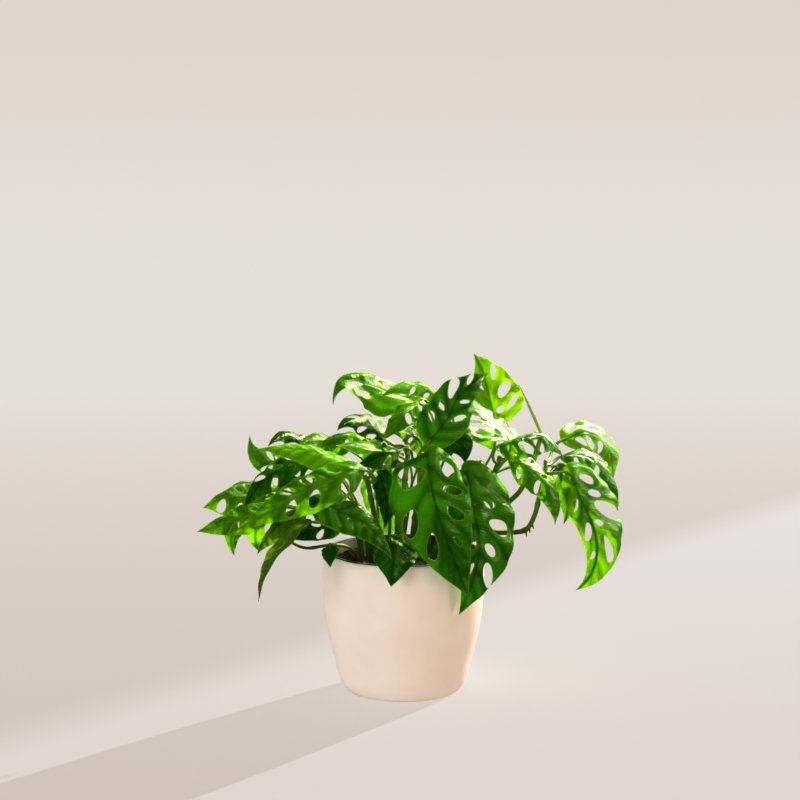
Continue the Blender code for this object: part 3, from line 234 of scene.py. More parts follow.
LEAVES = (
    LeafPlan("leaf_front_centre", "vine_centre",
             ((20, -70, 237), (25, -88, 208), (36, -92, 169), (59, -80, 106)),
             ((-0.1, -1.0, 0.2),), 43, 31, cup=-6, curl=-24, holes=FRONT_CENTRE_HOLES),
    LeafPlan("leaf_front_right", "soil",
             ((52, -56, 217), (63, -72, 183), (68, -76, 145), (50, -66, 86)),
             ((0.15, -1.0, 0.2),), 23, 39, cup=-6, curl=-20, holes=FRONT_RIGHT_HOLES),
    LeafPlan("leaf_top_centre", "vine_centre",
             ((21, -60, 241), (39, -52, 263), (52, -40, 284), (78, -25, 302)),
             ((-0.35, -1.0, 0.25),), 20, 29, cup=-4, curl=-24, holes=TOP_CENTRE_HOLES),
    LeafPlan("leaf_far_right_front", "vine_right",
             ((145, -46, 214), (160, -58, 191), (174, -62, 158), (173, -58, 128), (157, -50, 105)),
             ((0.1, -1.0, 0.25),), 15, 33, cup=-8, curl=-24, holes=FAR_RIGHT_FRONT_HOLES),
    LeafPlan("leaf_left_long", "vine_left",
             ((-34, -82, 222), (-67, -94, 214), (-102, -92, 197), (-150, -78, 166)),
             ((-0.2, -0.75, 0.65),), 25, 22, cup=-6, curl=-30),
    LeafPlan("leaf_front_left_dark", "soil",
             ((-85, -88, 194), (-56, -102, 189), (-31, -106, 176), (-10, -100, 145)),
             ((0.1, -0.8, 0.6),), 18, 17, cup=-8, curl=-20, holes=NO_HOLES, tone=Tone.DARK),
    LeafPlan("leaf_top_bright", "soil",
             ((86, 12, 247), (81, 22, 270), (75, 34, 294), (66, 40, 311)),
             ((0.25, -1.0, 0.1),), 31, 18, cup=6, curl=10, holes=TOP_BRIGHT_HOLES, tone=Tone.LIME),
    LeafPlan("leaf_glossy_white", "vine_right_tall",
             ((97, -32, 241), (86, -16, 252), (74, 2, 264), (62, 18, 273)),
             ((0.45, -0.45, 0.77),), 26, 34, cup=-8, curl=-20),
    LeafPlan("leaf_right_mid", "vine_right_tall",
             ((87, -54, 240), (106, -66, 249), (128, -68, 249), (144, -60, 229)),
             ((0.1, -0.45, 0.9),), 23, 25, cup=-15, curl=-30, tone=Tone.DARK),
    LeafPlan("leaf_far_right_top", "vine_right",
             ((146, 0, 235), (169, 4, 242), (188, 6, 231), (195, 4, 199)),
             ((0.25, -0.5, 0.85),), 20, 25, cup=-8, curl=-20, tone=Tone.LIME),
    LeafPlan("leaf_far_right_arch", "vine_right",
             ((144, -24, 224), (165, -34, 227), (186, -38, 211), (198, -30, 179)),
             ((0.25, -0.6, 0.8),), 14, 16, cup=-12, curl=-30),
    LeafPlan("leaf_right_folded", "vine_right_tall",
             ((95, -44, 226), (116, -56, 217), (133, -62, 198), (137, -60, 167)),
             ((0.1, -0.8, 0.6),), 17, 17, cup=-22, curl=-30),
    LeafPlan("leaf_right_inner", "vine_right",
             ((141, -5, 212), (147, -12, 196), (152, -16, 178), (148, -14, 159)),
             ((0.0, -1.0, 0.3),), 12, 12, cup=-10, curl=-20),
    LeafPlan("leaf_top_left_curl", "soil",
             ((12, 30, 268), (-18, 25, 278), (-42, 18, 288), (-59, 10, 286), (-64, 4, 268)),
             ((0.0, -0.6, 0.8), (0.0, -0.6, 0.8), (-0.3, -0.6, 0.6), (-0.85, -0.45, 0.2)), 16, 28,
             cup=-4, curl=-12, holes=CURLED_HOLES),
    LeafPlan("leaf_top_fingers", "soil",
             ((34, 0, 274), (14, -4, 287), (-4, -10, 286), (-20, -16, 278)),
             ((0.0, -0.6, 0.8),), 13, 11, cup=-15, curl=-30, tone=Tone.LIME),
    LeafPlan("leaf_upper_left_fold", "soil",
             ((19, -18, 276), (4, -34, 269), (-7, -44, 258), (-18, -48, 243)),
             ((-0.4, -0.8, 0.4),), 15, 15, cup=-8, curl=-24),
    LeafPlan("leaf_left_arch", "soil",
             ((-28, -5, 236), (-47, -18, 244), (-65, -24, 241), (-79, -28, 231)),
             ((-0.1, -0.4, 0.9),), 17, 17, cup=-16, curl=-34),
    LeafPlan("leaf_left_glossy", "soil",
             ((-5, -20, 225), (-28, -30, 232), (-47, -32, 236), (-62, -30, 236)),
             ((0.2, -0.4, 0.9),), 16, 17, cup=-5, curl=-15, holes=NO_HOLES),
    LeafPlan("leaf_new_small", "vine_left",
             ((-19, -48, 236), (-27, -52, 241), (-35, -55, 242)),
             ((0.0, -0.6, 0.8),), 5, 5, cup=10, curl=20, holes=NO_HOLES, tone=Tone.LIME),
    LeafPlan("leaf_centre_left", "vine_centre",
             ((5, -62, 238), (-12, -72, 237), (-27, -74, 231), (-42, -70, 225)),
             ((-0.2, -0.7, 0.7),), 17, 17, cup=-14, curl=-20),
    LeafPlan("leaf_left_yellow", "vine_left",
             ((-46, -55, 223), (-77, -60, 234), (-106, -56, 238), (-133, -48, 235)),
             ((0.0, -0.5, 0.87),), 16, 16, cup=-12, curl=-30, holes=NO_HOLES, tone=Tone.LIME),
    LeafPlan("leaf_left_hook", "soil",
             ((-92, -15, 214), (-116, -18, 217), (-134, -20, 224), (-140, -21, 243)),
             ((0.0, -0.7, 0.7), (0.0, -0.7, 0.7), (0.35, -0.8, 0.3), (0.5, -0.8, 0.1)), 14, 14,
             cup=-4, curl=-10),
    LeafPlan("leaf_left_sweep", "soil",
             ((-83, -32, 223), (-112, -42, 215), (-134, -44, 198), (-146, -38, 175)),
             ((-0.35, -0.7, 0.6),), 18, 17, cup=-10, curl=-24, tone=Tone.DARK),
    LeafPlan("leaf_far_left_tip", "soil",
             ((-125, -22, 190), (-147, -26, 190), (-168, -26, 185), (-184, -22, 176)),
             ((-0.3, -0.7, 0.6),), 12, 29, cup=-6, curl=-18, holes=FAR_LEFT_TIP_HOLES),
    LeafPlan("leaf_far_left_point", "soil",
             ((-118, -56, 180), (-142, -62, 176), (-163, -60, 169), (-187, -52, 160)),
             ((-0.3, -0.75, 0.6),), 16, 16, cup=-8, curl=-20),
    LeafPlan("leaf_far_left_down", "soil",
             ((-135, 0, 176), (-150, -2, 165), (-159, -2, 149), (-157, 0, 126)),
             ((-0.2, -1.0, 0.2),), 13, 13, cup=-10, curl=-20),
    LeafPlan("leaf_far_left_pale", "soil",
             ((-115, 25, 184), (-136, 26, 189), (-153, 24, 189), (-166, 20, 177)),
             ((-0.1, -0.5, 0.85),), 13, 13, cup=-14, curl=-24, tone=Tone.LIME),
    LeafPlan("leaf_left_backlit", "soil",
             ((-111, 10, 172), (-126, 8, 161), (-137, 6, 148), (-134, 4, 129)),
             ((-0.2, -1.0, 0.3),), 17, 16, cup=-6, curl=-12, tone=Tone.LIME),
    LeafPlan("leaf_low_left_pale", "soil",
             ((-86, -60, 182), (-106, -70, 176), (-121, -70, 161), (-131, -64, 142)),
             ((-0.5, -0.7, 0.5),), 15, 15, cup=-22, curl=-20, holes=NO_HOLES),
    LeafPlan("leaf_low_left_thin", "soil",
             ((-82, -76, 174), (-101, -82, 156), (-120, -80, 134), (-130, -72, 100)),
             ((-0.85, -0.1, 0.45),), 13, 13, cup=32, curl=10, holes=NO_HOLES, tone=Tone.DARK),
    LeafPlan("leaf_low_left_flat", "soil",
             ((-53, -36, 170), (-71, -40, 163), (-89, -42, 157), (-106, -40, 150)),
             ((-0.1, -0.7, 0.7),), 14, 13, cup=-10, curl=-20, tone=Tone.DARK),
    LeafPlan("leaf_centre_left_tip", "soil",
             ((-23, -60, 217), (-17, -70, 202), (-14, -74, 186), (-18, -72, 166)),
             ((-0.3, -1.0, 0.1),), 12, 11, cup=-8, curl=-20, holes=NO_HOLES, tone=Tone.DARK),
    LeafPlan("leaf_rim_small", "vine_left_runner",
             ((-65, -74, 153), (-66, -82, 145), (-65, -84, 134)),
             ((-0.2, -1.0, 0.3),), 9, 8, cup=-14, curl=-20, holes=NO_HOLES, tone=Tone.DARK),
    LeafPlan("leaf_rim_blunt", "soil",
             ((-11, -72, 158), (-9, -84, 146), (-11, -88, 117)),
             ((0.0, -1.0, 0.2),), 20, 24, cup=-20, curl=-14, holes=NO_HOLES, tone=Tone.DARK),
    LeafPlan("leaf_centre_dark", "soil",
             ((31, -25, 239), (44, -34, 241), (54, -38, 236), (56, -36, 220)),
             ((0.0, -1.0, 0.3),), 21, 15, cup=-6, curl=-16, holes=NO_HOLES, tone=Tone.DARK),
    LeafPlan("leaf_right_small", "vine_right_tall",
             ((77, -38, 213), (69, -43, 218), (57, -45, 211)),
             ((0.0, -0.8, 0.6),), 9, 9, cup=-12, curl=-20, holes=NO_HOLES, tone=Tone.DARK),
    LeafPlan("leaf_olive_mid", "soil",
             ((14, -20, 240), (2, -28, 249), (-8, -34, 252), (-18, -36, 247)),
             ((-0.1, -0.7, 0.7),), 12, 12, cup=-10, curl=-20, tone=Tone.DARK),
    LeafPlan("leaf_left_back_a", "soil",
             ((-80, 40, 214), (-102, 44, 228), (-115, 42, 233), (-127, 34, 223)),
             ((-0.1, -0.6, 0.8),), 13, 13, cup=-12, curl=-20, tone=Tone.DARK),
    LeafPlan("leaf_left_back_b", "soil",
             ((-50, 25, 222), (-73, 22, 232), (-87, 18, 233), (-98, 12, 226)),
             ((-0.1, -0.6, 0.8),), 14, 13, cup=-12, curl=-20),
    LeafPlan("leaf_back_round", "vine_back",
             ((-17, 45, 228), (-36, 48, 243), (-50, 46, 246), (-62, 38, 238)),
             ((-0.1, -0.6, 0.8),), 20, 15, cup=-12, curl=-24, tone=Tone.DARK),
    LeafPlan("leaf_back_left", "vine_back",
             ((-30, 62, 225), (-50, 86, 228), (-68, 106, 214), (-78, 118, 184)),
             ((-0.3, 0.6, 0.7),), 25, 24, cup=-8, curl=-24),
    LeafPlan("leaf_back_centre", "vine_back",
             ((14, 68, 235), (18, 94, 238), (20, 116, 222), (24, 128, 186)),
             ((0.0, 0.7, 0.7),), 29, 28, cup=-8, curl=-24),
    LeafPlan("leaf_back_right", "soil",
             ((58, 50, 230), (82, 70, 232), (104, 88, 216), (118, 98, 184)),
             ((0.4, 0.6, 0.7),), 27, 26, cup=-8, curl=-24),
    LeafPlan("leaf_back_far_right", "soil",
             ((100, 30, 205), (126, 42, 204), (146, 50, 188), (156, 54, 158)),
             ((0.6, 0.4, 0.7),), 22, 22, cup=-10, curl=-24),
    LeafPlan("leaf_back_far_left", "soil",
             ((-80, 58, 190), (-105, 74, 186), (-122, 84, 168), (-130, 88, 138)),
             ((-0.5, 0.5, 0.6),), 22, 22, cup=-10, curl=-24),
    LeafPlan("leaf_back_low", "soil",
             ((-10, 84, 190), (-16, 108, 180), (-18, 119, 152), (-12, 120, 112)),
             ((0.0, 1.0, 0.2),), 25, 25, cup=-8, curl=-22),
    LeafPlan("leaf_back_low_right", "soil",
             ((50, 74, 185), (64, 96, 176), (72, 106, 152), (70, 106, 116)),
             ((0.4, 1.0, 0.2),), 24, 24, cup=-8, curl=-22, tone=Tone.DARK),
)


class Path:
    """A smooth curve through a few points, read by the share of its length."""

    def __init__(self, points: Sequence, start: Vector | None = None) -> None:
        """Keep the points.

        Args:
            points: places that the curve runs through.
            start: direction at the first point, if it is given.
        """
        self.points = [Vector(p) for p in points]
        chords = [(b - a).length for a, b in zip(self.points, self.points[1:])]
        self.stops = [sum(chords[:i]) for i in range(len(self.points))]
        self.length = self.stops[-1]
        self.slopes = self._slopes(start)

    def _slopes(self, start: Vector | None) -> list[Vector]:
        """Work out how the curve heads at each point, from the point's neighbours.

        Args:
            start: direction at the first point, if it is given.

        Returns:
            A direction for each point.
        """
        p, t = self.points, self.stops
        slopes = [(p[i + 1] - p[i - 1]) / (t[i + 1] - t[i - 1]) for i in range(1, len(p) - 1)]
        first = (p[1] - p[0]) / t[1]
        last = (p[-1] - p[-2]) / (t[-1] - t[-2])
        near = slopes[0] if slopes else first
        far = slopes[-1] if slopes else last
        return [start if start else 2 * first - near] + slopes + [2 * last - far]

    def point(self, share: float) -> Vector:
        """Find a point of the curve.

        Args:
            share: how far along it lies, as a share of the length.

        Returns:
            The point.
        """
        t = min(max(share, 0.0), 1.0) * self.length
        i = 0
        while i < len(self.stops) - 2 and t > self.stops[i + 1]:
            i += 1
        span = self.stops[i + 1] - self.stops[i]
        x = (t - self.stops[i]) / span
        a, b = self.points[i], self.points[i + 1]
        da, db = self.slopes[i] * span, self.slopes[i + 1] * span
        return (a * (2 * x ** 3 - 3 * x ** 2 + 1) + da * (x ** 3 - 2 * x ** 2 + x)
                + b * (3 * x ** 2 - 2 * x ** 3) + db * (x ** 3 - x ** 2))

    def direction(self, share: float, step: float = 0.01) -> Vector:
        """The unit direction at a share of the length."""
        ahead, behind = self.point(min(share + step, 1.0)), self.point(max(share - step, 0.0))
        return (ahead - behind).normalized()

    def samples(self, spacing: float) -> list[Vector]:
        """Points along the curve, about spacing apart."""
        count = max(2, round(self.length / spacing))
        return [self.point(i / count) for i in range(count + 1)]


def spread(share: float | np.ndarray) -> float | np.ndarray:
    """Half width of a blade at a share of its length, as a share of the greatest one."""
    share = np.clip(share, 0.0, 1.0)
    return share ** BASE_ROUNDNESS * (1 - share) ** TIP_TAPER / PEAK


def ease(low: float, high: float, value: np.ndarray) -> np.ndarray:
    """A smooth step from 0 at low to 1 at high."""
    x = np.clip((value - low) / (high - low), 0.0, 1.0)
    return x * x * (3 - 2 * x)


def distances(points: np.ndarray, starts: np.ndarray, ends: np.ndarray) -> np.ndarray:
    """Distance of each flat point to the nearest of some segments.

    Args:
        points: n flat points.
        starts: the segments' first ends.
        ends: the segments' other ends.

    Returns:
        n distances, all FAR_OFF where there are no segments.
    """
    best = np.full(len(points), FAR_OFF)
    if not len(starts):
        return best
    along = ends - starts
    square = np.maximum((along ** 2).sum(axis=1), TINY)
    for first in range(0, len(points), BATCH):
        part = points[first:first + BATCH]
        gap = part[:, None, :] - starts[None, :, :]
        share = np.clip((gap * along[None]).sum(axis=2) / square[None], 0.0, 1.0)
        gap -= share[:, :, None] * along[None]
        best[first:first + BATCH] = np.sqrt((gap ** 2).sum(axis=2).min(axis=1))
    return best


def within(points: np.ndarray, ring: np.ndarray) -> np.ndarray:
    """Tell which flat points lie inside a closed ring, by how often it passes beside them.

    Args:
        points: flat points.
        ring: the ring's flat points, in order.

    Returns:
        True for each point that lies inside.
    """
    count = np.zeros(len(points), dtype=int)
    x, y = points[:, 0], points[:, 1]
    for (ax, ay), (bx, by) in zip(ring, np.roll(ring, -1, axis=0)):
        if ay != by:
            spans = (ay > y) != (by > y)
            count += spans & (x < ax + (bx - ax) * (y - ay) / (by - ay))
    return count % 2 == 1


def point_normals(points: np.ndarray, triangles: np.ndarray) -> np.ndarray:
    """Work out the normals at the points of a triangle mesh, weighted by area.

    Args:
        points: places of the points.
        triangles: rows of three indices into them.

    Returns:
        A unit normal for each point.
    """
    a, b, c = (points[triangles[:, k]] for k in range(3))
    flat = np.cross(b - a, c - a)
    normals = np.zeros_like(points)
    for k in range(3):
        np.add.at(normals, triangles[:, k], flat)
    return normals / np.maximum(np.linalg.norm(normals, axis=1, keepdims=True), TINY)


class Draft:
    """A mesh under construction: points in millimetres, faces, and named values at the points."""

    def __init__(self) -> None:
        """Start empty."""
        self.points: list[np.ndarray] = []
        self.faces: list[tuple[int, ...]] = []
        self.slots: list[int] = []
        self.values: list[dict[str, np.ndarray]] = []
        self.sizes: list[int] = []

    def add(self, points: np.ndarray, faces: Sequence, slot: int = 0,
            **values: np.ndarray) -> "Draft":
        """Add a body to the mesh.

        Args:
            points: places of the body's points.
            faces: its faces, as indices into those points.
            slot: which of the object's materials it wears.
            values: arrays of one number a point, by attribute name.

        Returns:
            The draft itself.
        """
        start = sum(self.sizes)
        self.faces += [tuple(int(i) + start for i in face) for face in faces]
        self.slots += [slot] * len(faces)
        self.points.append(np.asarray(points, dtype=float))
        self.values.append(values)
        self.sizes.append(len(points))
        return self

    def build(self, name: str, materials: Sequence, sharp: float = 48.0) -> Thing:
        """Make the object.

        Args:
            name: the piece's name.
            materials: its materials, by slot.
            sharp: edges that turn by more than this many degrees are drawn sharp.

        Returns:
            The object, linked to the scene.
        """
        mesh = bpy.data.meshes.new(name)
        mesh.from_pydata(np.concatenate(self.points) * MM, [], self.faces)
        for material in materials:
            mesh.materials.append(material)
        mesh.polygons.foreach_set("material_index", self.slots)
        mesh.polygons.foreach_set("use_smooth", [True] * len(self.faces))
        bodies = list(zip(self.values, self.sizes))
        for key in sorted({key for values in self.values for key in values}):
            layer = mesh.attributes.new(key, "FLOAT", "POINT")
            parts = [values.get(key, np.zeros(size)) for values, size in bodies]
            layer.data.foreach_set("value", np.concatenate(parts).astype(np.float32))
        mesh.update()
        mesh.set_sharp_from_angle(angle=math.radians(sharp))
        thing = bpy.data.objects.new(name, mesh)
        bpy.context.scene.collection.objects.link(thing)
        return thing


def swept(points: Sequence[Vector], radii: Sequence[float], sides: int,
          notch: float = 0.0, round_end: bool = False) -> tuple[np.ndarray, list, np.ndarray]:
    """A closed round bar along some points.

    Args:
        points: centres of the rings.
        radii: radius of each ring.
        sides: points on a ring.
        notch: depth of a groove along one side, as a share of the radius.
        round_end: whether the far end is drawn to a dome.

    Returns:
        Points, faces, and each point's distance along the bar.
    """
    places = [Vector(p) for p in points]
    radii = list(radii)
    if round_end:
        tip = (places[-1] - places[-2]).normalized()
        end, reach = places[-1], radii[-1]
        for share in DOME_SHARES:
            places.append(end + tip * (reach * share))
            radii.append(reach * math.sqrt(1 - share * share))
    side = None
    rings, runs, run = [], [], 0.0
    for i, place in enumerate(places):
        forward = (places[min(i + 1, len(places) - 1)] - places[max(i - 1, 0)]).normalized()
        if side is None:
            side = forward.orthogonal().normalized()
        side = (side - forward * side.dot(forward)).normalized()
        other = forward.cross(side)
        if i:
            run += (place - places[i - 1]).length
        for k in range(sides):
            angle = math.tau * k / sides
            reach = radii[i] * (1 - notch * math.exp(-((angle - math.pi) / GROOVE_WIDTH) ** 2))
            point = place + side * (reach * math.cos(angle)) + other * (reach * math.sin(angle))
            rings.append(point)
            runs.append(run)
    faces = []
    for i in range(len(places) - 1):
        for k in range(sides):
            a, b = i * sides + k, i * sides + (k + 1) % sides
            faces.append((a, b, b + sides, a + sides))
    last = (len(places) - 1) * sides
    faces.append(tuple(reversed(range(sides))))
    faces.append(tuple(range(last, last + sides)))
    return np.array([tuple(p) for p in rings]), faces, np.array(runs)


def turned(profile: Sequence[tuple[float, float]], sides: int) -> tuple[np.ndarray, list]:
    """A closed body of revolution.

    Args:
        profile: radius and height, from the foot on the axis, outside first, back to the axis.
        sides: points on a ring.

    Returns:
        Points and faces.
    """
    inner = profile[1:-1]
    points = [(0.0, 0.0, profile[0][1])]
    for radius, height in inner:
        for k in range(sides):
            angle = math.tau * k / sides
            points.append((radius * math.cos(angle), radius * math.sin(angle), height))
    points.append((0.0, 0.0, profile[-1][1]))
    top = len(points) - 1
    faces: list[tuple[int, ...]] = []
    for k in range(sides):
        j = (k + 1) % sides
        faces.append((0, 1 + j, 1 + k))
        for i in range(len(inner) - 1):
            a, b = 1 + i * sides + k, 1 + i * sides + j
            faces.append((a, b, b + sides, a + sides))
        ring = 1 + (len(inner) - 1) * sides
        faces.append((ring + k, ring + j, top))
    return np.array(points), faces


def dress(thing: Thing, node: str) -> None:
    """Let a finished piece stand for its node and ride on the plant's body.

    Args:
        thing: the piece.
        node: the solid whose place it takes.
    """
    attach(thing, BODY)
    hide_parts(node)
    log.info("%s stands for %s, %d faces", thing.name, node, len(thing.data.polygons))


class NodeTree:
    """A node tree under construction."""

    def __init__(self, tree: bpy.types.NodeTree) -> None:
        """Keep the tree."""
        self.tree = tree

    def add(self, kind: str, values: dict | None = None, **settings: object) -> bpy.types.Node:
        """Add a node.

        Args:
            kind: the node's type.
            values: numbers for its inputs, or sockets to link there.
            settings: its properties.

        Returns:
            The node.
        """
        node = self.tree.nodes.new(kind)
        for key, value in settings.items():
            setattr(node, key, value)
        for key, value in (values or {}).items():
            self.put(node.inputs[key], value)
        return node

    def put(self, socket: Socket, value: object) -> None:
        """Set an input to a value or link a socket to it.

        Args:
            socket: the input.
            value: a number, a colour, a material or a socket.
        """
        if isinstance(value, Socket):
            self.tree.links.new(value, socket)
        else:
            socket.default_value = value


class Recipe(NodeTree):
    """A material under construction, with short calls for its nodes."""

    COLOUR_A, COLOUR_B, COLOUR_OUT = 6, 7, 2
    NOISE_RANGE = (0.3, 0.7)

    def __init__(self, name: str) -> None:
        """Start a material with a plain Principled shader.

        Args:
            name: the material's name.
        """
        self.material = bpy.data.materials.new(name)
        self.material.use_nodes = True
        super().__init__(self.material.node_tree)
        self.shader = self.tree.nodes["Principled BSDF"]
        self.place = self.add("ShaderNodeTexCoord").outputs["Object"]

    def set(self, **values: object) -> None:
        """Set inputs of the Principled shader, with spaces written as underscores."""
        for key, value in values.items():
            self.put(self.shader.inputs[key.replace("_", " ")], value)

    def value(self, name: str) -> Socket:
        """The number that the piece's points hold under a name."""
        return self.add("ShaderNodeAttribute", attribute_name=name).outputs["Fac"]

    def times(self, a: object, b: object) -> Socket:
        """The product of two numbers."""
        return self.add("ShaderNodeMath", {0: a, 1: b}, operation="MULTIPLY").outputs[0]

    def plus(self, a: object, b: object) -> Socket:
        """The sum of two numbers."""
        return self.add("ShaderNodeMath", {0: a, 1: b}, operation="ADD").outputs[0]

    def near(self, value: object, full: float, none: float) -> Socket:
        """Mark where a value is small.

        Args:
            value: the value.
            full: up to this value the mark is 1.
            none: from here on it is 0, after a smooth fall.

        Returns:
            The mark.
        """
        values = {"Value": value, "From Min": full, "From Max": none, "To Min": 1.0, "To Max": 0.0}
        fall = self.add("ShaderNodeMapRange", values, interpolation_type="SMOOTHSTEP")
        return fall.outputs["Result"]

    def between(self, value: object, low: float, high: float, start: float,
                end: float) -> Socket:
        """A value brought from one range to another."""
        return self.add("ShaderNodeMapRange", {"Value": value, "From Min": low, "From Max": high,
                                               "To Min": start, "To Max": end}).outputs["Result"]

    def ranged(self, noise: object, start: float, end: float) -> Socket:
        """The usual range of a noise brought to another one."""
        return self.between(noise, *self.NOISE_RANGE, start, end)

    def noise(self, scale: float, detail: float = 2.0, rough: float = 0.5,
              at: Socket | None = None) -> Socket:
        """Noise about 0.5, of a scale in cells a metre."""
        return self.add("ShaderNodeTexNoise", {"Vector": at or self.place, "Scale": scale,
                                               "Detail": detail, "Roughness": rough}).outputs["Fac"]

    def mix(self, share: object, a: object, b: object) -> Socket:
        """A mix of two colours, all of the second one at a share of 1."""
        values = {0: share, self.COLOUR_A: a, self.COLOUR_B: b}
        return self.add("ShaderNodeMix", values, data_type="RGBA").outputs[self.COLOUR_OUT]

    def bump(self, height: object, strength: float, depth: float,
             normal: Socket | None = None) -> Socket:
        """Bend a normal by a height.

        Args:
            height: the height, from 0 to 1.
            strength: share of the bend that shows.
            depth: metres that a height of 1 stands for.
            normal: the normal to bend, the surface's own if none is given.

        Returns:
            The bent normal.
        """
        values = {"Height": height, "Strength": strength, "Distance": depth}
        if normal is not None:
            values["Normal"] = normal
        return self.add("ShaderNodeBump", values).outputs["Normal"]


def rgb(red: float, green: float, blue: float) -> tuple[float, float, float, float]:
    """A linear colour as nodes take it."""
    return red, green, blue, 1.0


@dataclass(frozen=True)
class LeafFinish:
    """Leaf skin: waxy upper side, paler lower side, veins, a light rim, and light let through.

    Scales are cells a metre, of the ridges cells a millimetre. Widths are millimetres from the
    middle of a vein or from the margin, and shares say how strongly each is drawn.
    """

    name: str
    upper: tuple
    # dark green: painted shade in the creases by the side veins, and the light let through the
    # midrib
    deep: tuple
    vein: tuple
    lower: tuple
    rim: tuple
    glow: tuple
    through: float
    roughness: float
    patch_scale: float = 22.0
    pore_scale: float = 900.0
    ridge_scale: float = 0.9
    ridge_depth: float = 0.0009
    pore_depth: float = 0.0002
    # millimetres from a side vein over which the painted crease shade fades out
    crease_shade_width: float = 6.0
    vein_width: float = 0.9
    vein_share: float = 0.22
    rib_width: float = 2.3
    rib_share: float = 0.5
    edge_width: float = 1.2
    edge_share: float = 0.65
    shade_width: float = 4.0
    shade_share: float = 0.45
    pore_colour: tuple = rgb(0.0, 0.02, 0.0)
    sheen: tuple = rgb(0.5, 1.0, 0.22)

    def make(self) -> Material:
        """Build the skin, which reads the values that the blade holds at its points.

        Returns:
            The material.
        """
        r = Recipe(self.name)
        pores = r.noise(self.pore_scale, 2.0)
        under = r.value("under")
        streaks = {0: r.times(r.value("slant"), 0.9), 1: r.times(r.value("rib"), 0.10)}
        streaks = r.add("ShaderNodeCombineXYZ", streaks).outputs[0]
        ridges = r.noise(self.ridge_scale, 3.0, 0.6, streaks)
        rough = r.ranged(ridges, self.roughness, self.roughness + 0.12)
        rough = r.plus(rough, r.times(under, 0.22))
        normal = r.bump(ridges, 0.9, self.ridge_depth, r.bump(pores, 0.25, self.pore_depth))
        r.set(Base_Color=self._colour(r, under, pores), Roughness=rough, Normal=normal, IOR=1.5,
              Specular_IOR_Level=0.45, Specular_Tint=self.sheen)
        self._let_light_through(r, normal)
        return r.material

    def _colour(self, r: Recipe, under: Socket, pores: Socket) -> Socket:
        """Lay the greens of both sides, painted shade in the vein creases, veins, midrib and rim.

        Args:
            r: the material.
            under: 1 on the lower side and 0 on the upper one.
            pores: fine noise.

        Returns:
            The colour.
        """
        # Painted shade darkens the green into the creases by the side veins, with random patches
        swell = r.between(r.value("vein"), 0.0, self.crease_shade_width, 0.0, 1.0)
        light = r.times(r.ranged(r.noise(self.patch_scale, 3.0), 0.45, 1.0), swell)
        colour = r.mix(light, self.deep, self.upper)
        for name, full, width, share, tone in (
                ("vein", 0.0, self.vein_width, self.vein_share, self.vein),
                ("rib", 0.5, self.rib_width, self.rib_share, self.vein),
                ("edge", 0.2, self.edge_width, self.edge_share, self.rim)):
            colour = r.mix(r.times(r.near(r.value(name), full, width), share), colour, tone)
        pale = r.mix(r.near(r.value("rib"), 0.6, 1.6), self.lower, self.rim)
        colour = r.mix(under, colour, pale)
        return r.mix(r.ranged(pores, 0.0, 0.25), colour, self.pore_colour)

    def _let_light_through(self, r: Recipe, normal: Socket) -> None:
        """Add the light that comes through the blade, dimmer by the veins and the midrib.

        Args:
            r: the material.
            normal: the skin's normal.
        """
        dim = r.mix(self.shade_share, self.glow, self.upper)
        shine = r.mix(r.near(r.value("vein"), 0.0, self.shade_width), self.glow, dim)
        shine = r.mix(r.times(r.near(r.value("rib"), 0.5, 1.8), 0.8), shine, self.deep)
        back = r.add("ShaderNodeBsdfTranslucent", {"Color": shine, "Normal": normal}).outputs[0]
        both = r.add("ShaderNodeMixShader", {0: self.through, 1: r.shader.outputs[0], 2: back})
        r.put(r.tree.nodes["Material Output"].inputs["Surface"], both.outputs[0])


@dataclass(frozen=True)
class StemFinish:
    """Smooth green skin of stalks and stems, brown at the joints, painted shade low in the crown.

    Scales are cells a metre, and the heights over which the painted crown shade fades are metres.
    """

    name: str
    green: tuple
    light: tuple
    scar: tuple
    # dark green painted as shade on the stalks low in the crown
    foot: tuple
    patch_scale: float = 90.0
    speck_scale: float = 1500.0
    crown_shade_heights: tuple = (0.14, 0.20)
    sheen: tuple = rgb(0.8, 1.0, 0.5)

    def make(self) -> Material:
        """Build the skin, which reads the bar's own scar values.

        Returns:
            The material.
        """
        r = Recipe(self.name)
        specks = r.noise(self.speck_scale, 2.0, 0.7)
        colour = r.mix(r.ranged(r.noise(self.patch_scale, 3.0), 0.0, 1.0), self.green, self.light)
        colour = r.mix(r.between(specks, 0.62, 0.72, 0.0, 0.5), colour, self.light)
        # Painted shade: the stalks darken towards the soil, under the leaves of the crown
        height = r.add("ShaderNodeSeparateXYZ", {0: r.place}).outputs["Z"]
        colour = r.mix(r.times(r.near(height, *self.crown_shade_heights), 0.7), colour, self.foot)
        colour = r.mix(r.times(r.value("scar"), 0.85), colour, self.scar)
        r.set(Base_Color=colour, Roughness=0.34, Normal=r.bump(specks, 0.3, 0.0003), IOR=1.45,
              Specular_IOR_Level=0.5, Specular_Tint=self.sheen)
        return r.material


